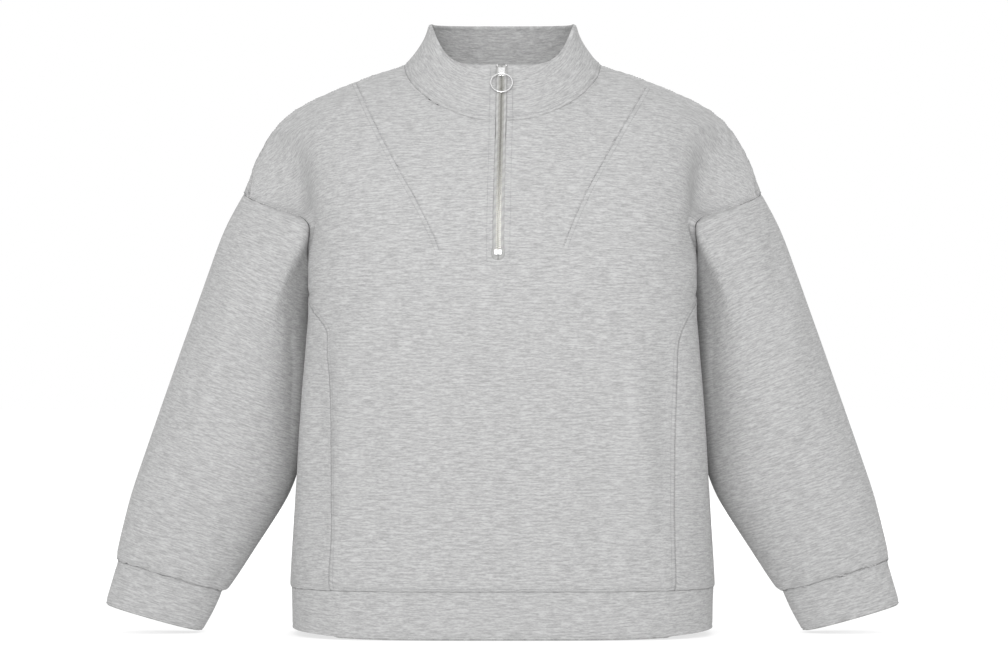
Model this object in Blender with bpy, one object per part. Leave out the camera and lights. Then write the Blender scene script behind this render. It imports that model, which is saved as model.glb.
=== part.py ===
"""A quarter-zip sweatshirt with a stand collar, dropped shoulders and side panels.

It is filled out as if it were worn, with nobody in it. The front faces -Y, +X is the
right of the front view, +Z is up, and the origin is the middle of the wearer's neck at
the height where the shoulder seams meet the collar. Lengths are in metres.

Every cloth piece is a wall made from a surface: a function of two shares that gives a
point. The torso is a stack of rings, the yoke runs from the neck and shoulder seams down
to the chest ring, and each sleeve runs from the armhole through sections to its cuff.
"""

import functools
import math

import bmesh
import bpy
import numpy as np
from mathutils import Matrix, kdtree

# ---------------------------------------------------------------- driving sizes
CLOTH = 0.0020             # brushed sweatshirt jersey
FOLDED_CLOTH = 0.0036      # collar, hem band and cuffs are folded double
SEAM_GAP = 0.0003          # between two pieces at a seam
HALF_GAP = SEAM_GAP / 2

CHEST_HEIGHT = -0.200      # the yoke ends on this torso ring
JOIN_HEIGHT = -0.262       # the side panels' seams meet the armhole here
UNDERARM_HEIGHT = -0.293   # lowest point of the armhole
HEM_SEAM_HEIGHT = -0.607
HEM_BAND_DROP = 0.054      # height of the hem band at the front and back
HEM_SIDE_LIFT = 0.007      # its lower edge rides up this much at the sides
HEM_BULGE = 0.010          # the cloth bulges this far above the hem seam
HEM_LIFT_POWER = 6         # how late the lower edge rises, towards the sides

NECK_HALF_WIDTH = 0.1152
NECK_FRONT_DEPTH = 0.118
NECK_BACK_DEPTH = 0.070
NECK_FRONT_DROP = 0.0698
NECK_BACK_DROP = 0.018
NECK_ROUNDING = 1.25       # how sharply the neck seam dips towards its middle
RIM_HALF_WIDTH = 0.0855
RIM_FRONT_DEPTH = 0.076
RIM_BACK_DEPTH = 0.072
RIM_FRONT_HEIGHT = -0.003
RIM_SIDE_HEIGHT = 0.0480
RIM_BACK_HEIGHT = 0.0498

ZIP_OPENING = 0.0125       # between the two cloth edges
ZIP_FOOT_HEIGHT = -0.2275  # bottom of the opening
ZIP_TOP_SHIFT = -0.0010    # the zip leans: sideways shift at the collar's rim
ZIP_FOOT_SHIFT = -0.0050   # and at its foot
ZIP_SHIFT_REACH = 0.060    # the lean and the opening die out this far to each side
CHAIN_HALF_WIDTH = 0.0033
CHAIN_THICKNESS = 0.0024
TAPE_THICKNESS = 0.0010
TAPE_EDGE = 0.0036         # the tape's inner edge, beside the chain
TAPE_IN_COLLAR = 0.0059    # its outer edge where the collar's two layers hold it
TAPE_IN_BODY = 0.0120      # its outer edge behind the front panel
TAPE_SINK = 0.0018         # it lies this far behind the middle of the front panel's cloth
TAPE_TOP = 0.0012          # below the collar's rim
SLIDER_AT = 0.0120         # middle of the slider, below the rim
SLIDER_WIDTH, SLIDER_LENGTH = 0.0080, 0.0120
PLATE_INNER, PLATE_OUTER = 0.0015, 0.0027     # the slider's plates, from the chain's middle
POST_HALF_WIDTH, POST_LENGTH = 0.0012, 0.0025
BAIL_HALF_WIDTH, BAIL_TOP = 0.0011, 0.0061
BAIL_END = -0.0012         # upper end of the bail, above the slider's middle
HINGE_DROP, HINGE_LIFT = 0.0040, 0.0042       # the pull ring's axis, from the slider's middle
HINGE_HOLE = 0.0026        # the square hole through the bail
RING_OUTER, RING_WIRE = 0.0265, 0.0017        # diameters
RING_REST_TILT = math.radians(2.7)            # it lies against the collar
TOP_STOP = (0.0015, 0.0030, 0.0018)           # width, length and height
TOP_STOP_ACROSS, TOP_STOP_DOWN, TOP_STOP_LIFT = 0.0051, 0.0028, 0.0017
BOTTOM_STOP = (0.0090, 0.0060, 0.0018)
BOTTOM_STOP_UP = 0.0065    # its middle, above the foot of the opening
BOTTOM_STOP_LIFT = 0.0017  # above the middle of the tapes
TAPE_SINK_RUN = 0.025      # the tapes dip behind the cloth over this much below the neck seam
TAPE_SHOULDER = 0.004      # and widen over this much more
TAPE_BELOW_FOOT = 0.006
SAG_SHARES = (0.0, 0.03, 0.06, 0.09)          # where the front panel's curve is measured

# Finishes: colour, roughness and metallic value.
HEATHER = ((0.56, 0.56, 0.57), 0.95, 0.0)
TAPE_GREY = ((0.42, 0.42, 0.43), 0.90, 0.0)
ZIP_METAL = ((0.60, 0.60, 0.60), 0.30, 1.0)
SHARP_ANGLE = math.radians(50)     # edges bent more than this are shaded as edges

# ---------------------------------------------------------------- tables
# Torso rings. half_width and the depths are those of the ring before the arm presses its
# side in by hollow. square is the power of the ring's outline: 2 is an ellipse.
RING_COLUMNS = ("height", "half_width", "front", "back", "square", "hollow")
RINGS = (
    (-0.150, 0.2360, 0.150, 0.118, 2.9, 0.018),
    (-0.200, 0.2345, 0.160, 0.127, 3.0, 0.022),
    (-0.262, 0.2330, 0.163, 0.132, 3.1, 0.026),
    (-0.300, 0.2350, 0.161, 0.133, 3.1, 0.0290),
    (-0.350, 0.2400, 0.157, 0.132, 3.1, 0.0335),
    (-0.400, 0.2450, 0.153, 0.130, 3.1, 0.0345),
    (-0.450, 0.2470, 0.150, 0.128, 3.1, 0.0270),
    (-0.500, 0.2465, 0.147, 0.127, 3.1, 0.0130),
    (-0.550, 0.2460, 0.144, 0.126, 3.1, 0.0040),
    (-0.597, 0.2463, 0.1423, 0.1263, 3.1, 0.0),
    (-0.607, 0.2450, 0.141, 0.125, 3.1, 0.0),
    (-0.665, 0.2440, 0.139, 0.123, 3.1, 0.0),
)
HOLLOW_REACH = 0.060       # the hollow dies out this far in front of and behind the arm
HOLLOW_MIDDLE = 0.010      # depth of its middle, behind the garment's

# The armhole's lower front edge and the side seam below it, as depths on the ring.
EDGE_COLUMNS = ("height", "depth")
ARMHOLE_EDGE = ((-0.200, 0.080), (-0.222, 0.062), (-0.244, 0.045), (-0.262, 0.030))
SIDE_SEAM = (
    (-0.262, 0.030),
    (-0.272, 0.062),
    (-0.285, 0.092),
    (-0.315, 0.1165),
    (-0.350, 0.1185),
    (-0.410, 0.1195),
    (-0.500, 0.1170),
    (-0.607, 0.1125),
)

# The shoulder seam from the neck to the top of the armhole. It follows the crest of the
# shoulder, then comes forward over the tip.
SHOULDER_COLUMNS = ("across", "depth", "height")
SHOULDER = (
    (0.1152, 0.000, 0.0000),
    (0.1316, 0.002, -0.0050),
    (0.1790, 0.004, -0.0225),
    (0.2200, 0.004, -0.0400),
    (0.2498, 0.002, -0.0575),
    (0.2662, 0.000, -0.0750),
    (0.2779, -0.002, -0.0925),
    (0.2870, -0.008, -0.1110),
    (0.2930, -0.021, -0.1330),
    (0.2954, -0.036, -0.1545),
)

# Sleeve sections from the armhole to the cuff: the outer and inner edges that the front
# view shows, half the depth of the tube and how far back its middle is.
SLEEVE_COLUMNS = ("out_x", "out_z", "in_x", "in_z", "half_depth", "back")
SLEEVE = (
    (0.3054, -0.1470, 0.2050, -0.2930, 0.0800, 0.000),
    (0.3255, -0.1850, 0.2130, -0.3200, 0.0810, 0.006),
    (0.3475, -0.2504, 0.2200, -0.3600, 0.0800, 0.010),
    (0.3726, -0.3206, 0.2240, -0.4050, 0.0770, 0.012),
    (0.3972, -0.3908, 0.2330, -0.4500, 0.0720, 0.012),
    (0.4218, -0.4610, 0.2500, -0.5000, 0.0640, 0.012),
    (0.4400, -0.5180, 0.2830, -0.5540, 0.0540, 0.012),
    (0.4522, -0.5720, 0.3200, -0.6095, 0.0430, 0.012),
)
CUFF = (
    (0.4492, -0.5765, 0.3285, -0.6125, 0.0380, 0.012),
    (0.4570, -0.6030, 0.3395, -0.6370, 0.0350, 0.012),
    (0.4645, -0.6288, 0.3528, -0.6605, 0.0330, 0.012),
)
SLEEVE_SQUARE = 2.2        # the power of the sleeve sections' outline
TIP_TANGENT = (0.72, 0.82, 0.42)   # way the armhole crosses the shoulder seam, to the back
BACK_EDGE_SCALE = 0.85     # the back seams lie at this share of the front seams' depth

# The ways in which the yoke's cloth leaves its top, for the front panel; the back panel's
# point to +Y instead. They turn from the middle of the neck seam to the tip of the shoulder.
LEAVES_FRONT_MIDDLE, LEAVES_BACK_MIDDLE = (0.0, -0.50, -0.86), (0.0, -0.62, -0.78)
LEAVES_NECK_CORNER = (0.62, -0.72, -0.26)
LEAVES_ACROSS, LEAVES_ALONG = 0.72, 0.66      # by the neck it fans out along the shoulder seam
FAN_RUN = 1 / 3            # over this share of the seam
TIP_RUN = 0.45             # and it takes the armhole's way over this last share
NECK_PULL, TIP_PULL = 0.95, 1.15    # how stiffly the yoke leaves its top, by the neck and the tip
CHEST_PULL = 1.00          # and how stiffly it arrives at the chest ring
ARMHOLE_HOLD = 0.25        # share of the sleeve that keeps some of the armhole's own shape
COLLAR_WAIST = 0.005       # the collar's sides curve in this much between seam and rim
RIM_ROUNDING = 5.2         # how late the rim rises from its front towards the sides

# Soft folds, as ridges (or troughs, where height is negative) that run between two places
# in the front view. group is what they lie on and face is -1 in front and 1 behind.
FOLD_COLUMNS = ("group", "face", "x1", "z1", "x2", "z2", "half_width", "height")
FOLDS = (
    ("torso", -1, -0.150, -0.262, -0.222, -0.318, 0.016, -0.0040),
    ("torso", -1, -0.190, -0.310, -0.205, -0.580, 0.020, 0.0045),
    ("torso", -1, 0.145, -0.330, 0.160, -0.560, 0.022, 0.0040),
    ("torso", 1, -0.158, -0.275, -0.192, -0.560, 0.022, 0.0042),
    ("torso", 1, 0.150, -0.300, 0.186, -0.575, 0.020, 0.0045),
    ("torso", 1, 0.030, -0.360, -0.020, -0.590, 0.028, 0.0030),
    ("sleeve", -1, 0.318, -0.200, 0.340, -0.450, 0.016, 0.0035),
    ("sleeve", -1, -0.300, -0.215, -0.352, -0.420, 0.018, 0.0030),
    ("sleeve", 1, 0.300, -0.240, 0.352, -0.430, 0.018, 0.0035),
    ("sleeve", 1, -0.305, -0.260, -0.362, -0.470, 0.018, 0.0035),
)
FOLD_END = 0.02            # a fold keeps a little height at its very ends
FOLD_FULLNESS = 0.7        # below 1 it rises faster from its ends

# ---------------------------------------------------------------- how finely pieces are cut
NECK_FRONT_STEPS = 7       # half the neck seam, front
NECK_BACK_STEPS = 6        # half the neck seam, back
SHOULDER_STEPS = 7
YOKE_STEPS = 7             # from the shoulder seam to the chest ring
YOKE_CROWDING = 1.25       # rows are closer near the shoulder
SLIT_STEPS = 2             # from the chest ring to the foot of the zip
ARMHOLE_STEPS = 2          # from there to where the side seam starts
BODY_STEPS = 10            # from there to the cloth that bulges over the hem seam
BODY_CROWDING = 1.4        # rows are closer near the armhole
SIDE_STEPS = 6             # across a side panel
SLEEVE_STEPS = 10
CUFF_STEPS = 2
COLLAR_STEPS = 4
BAND_STEPS = 2
CHAIN_ROWS, TAPE_ROWS = 14, 8
PULL_RING_SEGMENTS = (40, 8)       # round the ring and round its wire
RING_SAMPLES = 181
NECK_SHARE = 0.42          # share of the chest ring's front under the neck seam
NUDGE = 1e-4               # step for slopes
EVENING, EVENING_PASSES = 0.5, 3    # how much the yoke's bends are evened out
ZIP_COLUMNS = 3            # columns on each side of the zip that keep their place
TURNS_BACK = 0.10          # cosine between body and sleeve below which they lie face to face
TURNS_BACK_RUN = 0.50      # wholly so this much below that
TOUCHING = 1e-5            # points this near each other are sewn together


# ---------------------------------------------------------------- reading the tables
def column(table, names, name):
    """One named column of a table as an array."""
    return np.array([row[names.index(name)] for row in table], float)


def curve_through(keys, values, key):
    """A smooth curve through table values that never swings past them between two rows."""
    order = np.argsort(keys)
    keys, values = np.asarray(keys)[order], np.asarray(values)[order]
    steps = np.diff(values, axis=0) / np.diff(keys).reshape(-1, *[1] * (values.ndim - 1))
    product = steps[1:] * steps[:-1]
    total = np.where(product > 0, steps[1:] + steps[:-1], 1.0)
    slopes = np.concatenate([steps[:1], np.where(product > 0, 2 * product / total, 0), steps[-1:]])
    i = int(np.clip(np.searchsorted(keys, key) - 1, 0, len(keys) - 2))
    span = keys[i + 1] - keys[i]
    t = (key - keys[i]) / span
    return hermite(values[i], slopes[i] * span, values[i + 1], slopes[i + 1] * span, t)


def hermite(start, start_slope, end, end_slope, t):
    """The cubic between two points with the given slopes at its ends."""
    return (
        (2 * t**3 - 3 * t**2 + 1) * start
        + (t**3 - 2 * t**2 + t) * start_slope
        + (3 * t**2 - 2 * t**3) * end
        + (t**3 - t**2) * end_slope
    )


def unit(vector):
    """A vector of length one."""
    return vector / np.linalg.norm(vector)


def smooth(t):
    """0 below 0, 1 above 1 and an even S between."""
    t = min(max(t, 0.0), 1.0)
    return t * t * (3 - 2 * t)


# ---------------------------------------------------------------- torso
@functools.lru_cache(maxsize=None)
def ring(height):
    """Half a torso ring, from the middle of the front round +X to the middle of the back."""
    heights = column(RINGS, RING_COLUMNS, "height")
    half_width, front, back, square, hollow = (
        float(curve_through(heights, column(RINGS, RING_COLUMNS, name), height))
        for name in RING_COLUMNS[1:]
    )
    angle = np.linspace(0.0, math.pi, RING_SAMPLES)
    power = 2 / square
    x = half_width * np.abs(np.sin(angle)) ** power
    x[[0, -1]] = 0.0
    depth = np.where(np.cos(angle) > 0, -front, back)
    y = depth * np.abs(np.cos(angle)) ** power
    pressed = hollow * np.exp(-(((y - HOLLOW_MIDDLE) / HOLLOW_REACH) ** 2))
    x = x - pressed * np.minimum(1, x / half_width)
    points = np.stack([x, y, np.full_like(x, height)], axis=1)
    along = np.concatenate([[0.0], np.cumsum(np.linalg.norm(np.diff(points, axis=0), axis=1))])
    return points, along / along[-1]


def torso(height, share):
    """A point of a torso ring, share 0 at the middle of the front and 1 at that of the back."""
    points, along = ring(round(height, 7))
    side = math.copysign(1.0, share)
    point = np.array([np.interp(abs(share), along, points[:, k]) for k in range(3)])
    point[0] *= side
    return point


def share_at_depth(height, depth):
    """Where on its ring a depth is reached."""
    points, along = ring(round(height, 7))
    return float(np.interp(depth, points[:, 1], along))


def edge_share(height, back):
    """The share where the front panel ends, or the back panel, counted from its middle."""
    table = ARMHOLE_EDGE if height >= JOIN_HEIGHT else SIDE_SEAM
    heights = column(table, EDGE_COLUMNS, "height")
    depth = float(curve_through(heights, column(table, EDGE_COLUMNS, "depth"), height))
    if back:
        return 1 - share_at_depth(height, depth * BACK_EDGE_SCALE)
    return share_at_depth(height, -depth)


# ---------------------------------------------------------------- neck and shoulders
def neck_seam(turn):
    """The neck seam: turn 0 at the middle of the front, 1 at the shoulder, 2 at the back."""
    angle = turn * math.pi / 2
    forward = math.cos(angle)
    depth, drop = (
        (-NECK_FRONT_DEPTH, NECK_FRONT_DROP) if forward > 0 else (NECK_BACK_DEPTH, NECK_BACK_DROP)
    )
    reach = abs(forward)
    return np.array(
        [NECK_HALF_WIDTH * math.sin(angle), depth * reach, -drop * reach**NECK_ROUNDING]
    )


def shoulder_seam(share):
    """The shoulder seam, 0 at the neck and 1 at the armhole."""
    points = np.array(SHOULDER, float)
    along = np.concatenate([[0.0], np.cumsum(np.linalg.norm(np.diff(points, axis=0), axis=1))])
    return curve_through(along / along[-1], points, share)


def yoke_top(share, back):
    """(point, way the cloth leaves it) on the seam that a yoke column starts from."""
    facing = np.array([1.0, -1.0, 1.0]) if back else np.ones(3)
    if share <= NECK_SHARE:
        turn = share / NECK_SHARE
        middle = np.array(LEAVES_BACK_MIDDLE if back else LEAVES_FRONT_MIDDLE)
        leaving = middle * (1 - turn**2) + np.array(LEAVES_NECK_CORNER) * turn**2
        return neck_seam(2 - turn if back else turn), unit(leaving * facing)
    along = (share - NECK_SHARE) / (1 - NECK_SHARE)
    point = shoulder_seam(along)
    slope = unit(shoulder_seam(min(along + NUDGE, 1.0)) - shoulder_seam(max(along - NUDGE, 0.0)))
    across = np.array([0.0, -1.0, 0.0]) * facing
    tip = np.array(TIP_TANGENT) * (1 if back else -1)
    straight = smooth(along / FAN_RUN)
    fan = (LEAVES_ACROSS * across + LEAVES_ALONG * slope) * (1 - straight) + across * straight
    late = smooth((along - 1 + TIP_RUN) / TIP_RUN)
    return point, unit(fan * (1 - late) + tip * late)


def yoke(share, fall, back):
    """The cloth between the neck or shoulder seam, fall 0, and the chest ring, fall 1."""
    start, leaving = yoke_top(share, back)
    end = body(share, CHEST_HEIGHT, back)
    below = body(share, CHEST_HEIGHT - NUDGE, back)
    reach = np.linalg.norm(end - start)
    pull = NECK_PULL * (1 - share) + TIP_PULL * share
    arriving = unit(below - end)
    return hermite(start, leaving * reach * pull, end, arriving * reach * CHEST_PULL, fall)


def body(share, height, back):
    """The front or back panel below the chest ring; share 1 is its edge."""
    edge = edge_share(height, back)
    return torso(height, 1 - share * edge if back else share * edge)


def panel(share, fall, back):
    """The front or back half panel. fall: 0 to 1 yoke, 1 to 2 armhole, 2 to 3 down to the hem."""
    if fall < 1:
        return yoke(share, fall, back)
    if fall < 2:
        return body(share, CHEST_HEIGHT + (JOIN_HEIGHT - CHEST_HEIGHT) * (fall - 1), back)
    return body(share, JOIN_HEIGHT + (HEM_SEAM_HEIGHT - JOIN_HEIGHT) * (fall - 2), back)


def on_side(point, hand):
    """A +X point on the given hand, moved for the zip's opening and its lean."""
    x, y, z = point
    if y < 0 and x < ZIP_SHIFT_REACH:
        x = ZIP_OPENING / 2 + x * (1 - ZIP_OPENING / 2 / ZIP_SHIFT_REACH)
    low = smooth((z - RIM_FRONT_HEIGHT) / (ZIP_FOOT_HEIGHT - RIM_FRONT_HEIGHT))
    fade = smooth((z - HEM_SEAM_HEIGHT) / (ZIP_FOOT_HEIGHT - HEM_SEAM_HEIGHT))
    lean = (ZIP_TOP_SHIFT + (ZIP_FOOT_SHIFT - ZIP_TOP_SHIFT) * low) * fade
    near = 1 - smooth(x / ZIP_SHIFT_REACH) if y < 0 else 0.0
    return np.array([hand * x + lean * near, y, z])


def mirrored(points):
    """The same piece on the other side of the body: columns run the other way round."""
    return points[:, ::-1] * (-1, 1, 1)


# ---------------------------------------------------------------- rows and columns
def front_shares():
    """Column shares of half the front panel, from its middle to its edge."""
    neck = [NECK_SHARE * i / NECK_FRONT_STEPS for i in range(NECK_FRONT_STEPS)]
    return neck + shoulder_shares()


def back_shares():
    """Column shares of half the back panel, from its middle to its edge."""
    neck = [NECK_SHARE * i / NECK_BACK_STEPS for i in range(NECK_BACK_STEPS)]
    return neck + shoulder_shares()


def shoulder_shares():
    """Column shares along the shoulder seam."""
    return [NECK_SHARE + (1 - NECK_SHARE) * i / SHOULDER_STEPS for i in range(SHOULDER_STEPS + 1)]


def upper_falls():
    """Rows from the top of a panel to where the side seam starts."""
    foot = (ZIP_FOOT_HEIGHT - CHEST_HEIGHT) / (JOIN_HEIGHT - CHEST_HEIGHT)
    yoke_rows = [(i / YOKE_STEPS) ** YOKE_CROWDING for i in range(YOKE_STEPS)]
    slit_rows = [1 + foot * i / SLIT_STEPS for i in range(SLIT_STEPS)]
    return yoke_rows + slit_rows + [
        1 + foot + (1 - foot) * i / ARMHOLE_STEPS for i in range(ARMHOLE_STEPS + 1)
    ]


def lower_falls():
    """Rows below that, down to the hem seam, as shares of the way."""
    bulge = 1 - HEM_BULGE / (JOIN_HEIGHT - HEM_SEAM_HEIGHT)
    return [bulge * (i / BODY_STEPS) ** BODY_CROWDING for i in range(1, BODY_STEPS + 1)] + [1.0]


def panel_falls():
    """All rows of the front and back panels."""
    return upper_falls() + [2 + fall for fall in lower_falls()]


# ---------------------------------------------------------------- the torso's pieces
def front_panel():
    """The front panel, from the edge on -X to the edge on +X, with a column beside the zip."""
    shares = front_shares()
    columns = [(-1, share) for share in reversed(shares)] + [(1, share) for share in shares]
    rows = [
        [on_side(panel(s, fall, False), hand) for hand, s in columns] for fall in panel_falls()
    ]
    return evened(np.array(rows), held=ZIP_COLUMNS)


def back_panel():
    """The back panel, from the edge on +X to the edge on -X."""
    shares = back_shares()
    half = np.array([[panel(s, fall, True) for s in reversed(shares)] for fall in panel_falls()])
    return evened(np.concatenate([half, mirrored(half)[:, 1:]], axis=1))


def evened(points, held=0):
    """A panel with its yoke's bends evened out between columns, apart from its edges.

    held columns on each side of the middle keep their place.
    """
    inner = points[1:YOKE_STEPS]
    share = np.full(inner.shape[1] - 2, EVENING)
    middle = len(share) // 2
    share[middle - held : middle + held] = 0
    for _ in range(EVENING_PASSES):
        between = (inner[:, :-2] + inner[:, 2:]) / 2
        inner[:, 1:-1] += (between - inner[:, 1:-1]) * share[:, None]
    return points


def side_point(across, fall):
    """A point of the side panel on +X: across 0 at its front seam and 1 at its back seam."""
    top = JOIN_HEIGHT + (UNDERARM_HEIGHT - JOIN_HEIGHT) * math.sin(math.pi * across)
    seam_height = JOIN_HEIGHT + (HEM_SEAM_HEIGHT - JOIN_HEIGHT) * fall
    start, end = edge_share(seam_height, False), 1 - edge_share(seam_height, True)
    return torso(top + (HEM_SEAM_HEIGHT - top) * fall, start + (end - start) * across)


def side_panel():
    """The side panel on +X."""
    across = [i / SIDE_STEPS for i in range(SIDE_STEPS + 1)]
    return np.array([[side_point(a, fall) for a in across] for fall in [0.0, *lower_falls()]])


def hem_band():
    """The hem band, a ring from the middle of the front round +X."""
    front_edge, back_edge = edge_share(HEM_SEAM_HEIGHT, False), edge_share(HEM_SEAM_HEIGHT, True)
    half = [share * front_edge for share in front_shares()]
    span = 1 - back_edge - front_edge
    half += [front_edge + span * i / SIDE_STEPS for i in range(1, SIDE_STEPS)]
    half += [1 - share * back_edge for share in reversed(back_shares())]
    columns = [(1, share) for share in half] + [(-1, share) for share in reversed(half[:-1])]
    widest = torso(HEM_SEAM_HEIGHT, 0.5)[0]
    rows = []
    for i in range(BAND_STEPS + 1):
        fall = i / BAND_STEPS
        row = []
        for hand, share in columns:
            x, y, z = torso(HEM_SEAM_HEIGHT - HEM_BAND_DROP * fall, share)
            z += HEM_SIDE_LIFT * fall * min(1.0, x / widest) ** HEM_LIFT_POWER
            row.append(on_side((x, y, z), hand))
        rows.append(row)
    return np.array(rows)


# ---------------------------------------------------------------- collar
def rim(turn):
    """The collar's rim, turn as on the neck seam."""
    sideways, forward = math.sin(turn * math.pi / 2), math.cos(turn * math.pi / 2)
    depth = -RIM_FRONT_DEPTH if forward > 0 else RIM_BACK_DEPTH
    low = RIM_FRONT_HEIGHT if forward > 0 else RIM_BACK_HEIGHT
    power = RIM_ROUNDING if forward > 0 else 2
    height = low + (RIM_SIDE_HEIGHT - low) * sideways**power
    return np.array([RIM_HALF_WIDTH * sideways, depth * abs(forward), height])


def collar_point(turn, fall):
    """A point of the collar: fall 0 at its rim and 1 at the neck seam."""
    top, seam = rim(turn), neck_seam(turn)
    point = top + (seam - top) * fall
    point[0] -= COLLAR_WAIST * 4 * fall * (1 - fall) * math.sin(turn * math.pi / 2) ** 2
    return point


def collar():
    """The collar, from the opening round +X to the opening on -X."""
    turns = [i / NECK_FRONT_STEPS for i in range(NECK_FRONT_STEPS)]
    turns += [1 + i / NECK_BACK_STEPS for i in range(NECK_BACK_STEPS + 1)]
    columns = [(1, turn) for turn in turns] + [(-1, turn) for turn in reversed(turns[:-1])]
    falls = [i / COLLAR_STEPS for i in range(COLLAR_STEPS + 1)]
    return np.array(
        [[on_side(collar_point(turn, fall), hand) for hand, turn in columns] for fall in falls]
    )


# ---------------------------------------------------------------- sleeves
def armhole():
    """The armhole on +X: from the shoulder's tip down the back, under and up the front."""
    back_edge = [panel(1.0, fall, True) for fall in upper_falls()]
    under = [side_point(1 - i / SIDE_STEPS, 0.0) for i in range(1, SIDE_STEPS)]
    front_edge = [panel(1.0, fall, False) for fall in reversed(upper_falls())]
    return np.array(back_edge + under + front_edge[:-1])


def section(table, way):
    """(middle, half of the width, half of the depth) of a tube at a share of its length."""
    values = np.array(table, float)
    middles = (values[:, 0:2] + values[:, 2:4]) / 2
    along = np.concatenate([[0.0], np.cumsum(np.linalg.norm(np.diff(middles, axis=0), axis=1))])
    out_x, out_z, in_x, in_z, half_depth, back = curve_through(along / along[-1], values, way)
    middle = np.array([(out_x + in_x) / 2, back, (out_z + in_z) / 2])
    half_width = np.array([(out_x - in_x) / 2, 0.0, (out_z - in_z) / 2])
    return middle, half_width, np.array([0.0, half_depth, 0.0])


def oval(table, way, angles):
    """The outline of a tube at angles from its outer edge, 90 degrees being its back."""
    middle, half_width, half_depth = section(table, way)
    power = 2 / SLEEVE_SQUARE
    c, s = np.cos(angles), np.sin(angles)
    c, s = np.sign(c) * np.abs(c) ** power, np.sign(s) * np.abs(s) ** power
    return middle + c[:, None] * half_width + s[:, None] * half_depth


def armhole_angles(points):
    """Where each armhole point lies around the first sleeve section."""
    middle, half_width, half_depth = section(SLEEVE, 0.0)
    c = (points - middle) @ half_width / (half_width @ half_width)
    s = (points - middle) @ half_depth / (half_depth @ half_depth)
    power = SLEEVE_SQUARE / 2
    angles = np.arctan2(np.sign(s) * np.abs(s) ** power, np.sign(c) * np.abs(c) ** power)
    return np.unwrap(angles)


def sleeve():
    """The sleeve on +X, a tube from the armhole to the cuff seam."""
    start = armhole()
    angles = armhole_angles(start)
    even = angles[0] + 2 * math.pi * np.arange(len(start)) / len(start)
    own_shape = start - oval(SLEEVE, 0.0, angles)
    seam = oval(CUFF, 0.0, even)
    rows = []
    for i in range(SLEEVE_STEPS + 1):
        way = i / SLEEVE_STEPS
        share = smooth(way * 2)
        ring_points = oval(SLEEVE, way, angles * (1 - share) + even * share)
        rows.append(ring_points + own_shape * (1 - smooth(way / ARMHOLE_HOLD)))
    return np.array([*rows, seam])


def cuff():
    """The cuff on +X."""
    start = armhole_angles(armhole())[0]
    count = len(armhole())
    even = start + 2 * math.pi * np.arange(count) / count
    return np.array([oval(CUFF, i / CUFF_STEPS, even) for i in range(CUFF_STEPS + 1)])


# ---------------------------------------------------------------- sewing and cutting apart
class Piece:
    """A cloth piece: a grid of points, round a tube or not, with a slit for the zip or not."""

    def __init__(self, name, points, thickness, colour, tube=False, slit=0):
        self.name, self.thickness, self.colour = name, thickness, colour
        rows, columns = points.shape[:2]
        self.points = points.reshape(-1, 3)
        self.quads = []
        for row in range(rows - 1):
            for left in range(columns if tube else columns - 1):
                if row < slit and left == columns // 2 - 1:
                    continue
                right = (left + 1) % columns
                upper, lower = row * columns, (row + 1) * columns
                self.quads.append((upper + left, lower + left, lower + right, upper + right))
        self.group = "sleeve" if tube and name != "hem_band" else "torso"


def cloth_pieces():
    """All cloth pieces, laid on the garment's surface and still touching at the seams."""
    slit_rows = YOKE_STEPS + SLIT_STEPS
    side, arm, wrist = side_panel(), sleeve(), cuff()
    return [
        Piece("front_panel", front_panel(), CLOTH, HEATHER, slit=slit_rows),
        Piece("back_panel", back_panel(), CLOTH, HEATHER),
        Piece("side_panel_right", side, CLOTH, HEATHER),
        Piece("side_panel_left", mirrored(side), CLOTH, HEATHER),
        Piece("sleeve_right", arm, CLOTH, HEATHER, tube=True),
        Piece("sleeve_left", mirrored(arm), CLOTH, HEATHER, tube=True),
        Piece("cuff_right", wrist, FOLDED_CLOTH, HEATHER, tube=True),
        Piece("cuff_left", mirrored(wrist), FOLDED_CLOTH, HEATHER, tube=True),
        Piece("collar", collar(), FOLDED_CLOTH, HEATHER),
        Piece("hem_band", hem_band(), FOLDED_CLOTH, HEATHER, tube=True),
    ]


def face_normals(points, quads):
    """The normals of quads, as long as twice their areas."""
    corners = points[np.array(quads)]
    return np.cross(corners[:, 2] - corners[:, 0], corners[:, 3] - corners[:, 1])


def sewn_normals(pieces, seats):
    """Each piece's point normals, shared with the neighbours of its own group at the seams."""
    count = max(seat.max() for seat in seats) + 1
    totals = {group: np.zeros((count, 3)) for group in ("torso", "sleeve")}
    for piece, seat in zip(pieces, seats):
        normals = face_normals(piece.points, piece.quads)
        for corner in np.array(piece.quads).T:
            np.add.at(totals[piece.group], seat[corner], normals)
    for total in totals.values():
        total /= np.maximum(np.linalg.norm(total, axis=1), NUDGE**3)[:, None]
    return totals


def armhole_normals(totals):
    """The groups' normals, joined round the armholes, and how far the sleeve stands off there.

    Over the shoulder the sleeve carries the body's cloth on, so both get the normal between
    theirs. Under the arm it turns back beside the body, so the two lie face to face.
    """
    body_side, arm_side = totals["torso"], totals["sleeve"]
    both = np.any(body_side, axis=1) & np.any(arm_side, axis=1)
    facing = np.sum(body_side * arm_side, axis=1)
    apart = np.array([smooth((TURNS_BACK - f) / TURNS_BACK_RUN) for f in facing]) * both
    between = body_side + arm_side
    between /= np.maximum(np.linalg.norm(between, axis=1), NUDGE)[:, None]
    joined = {}
    for group, own in totals.items():
        mixed = np.where(both[:, None], own * apart[:, None] + between * (1 - apart)[:, None], own)
        joined[group] = mixed / np.maximum(np.linalg.norm(mixed, axis=1), NUDGE)[:, None]
    return joined, body_side * (apart * (CLOTH + SEAM_GAP))[:, None]


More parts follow.
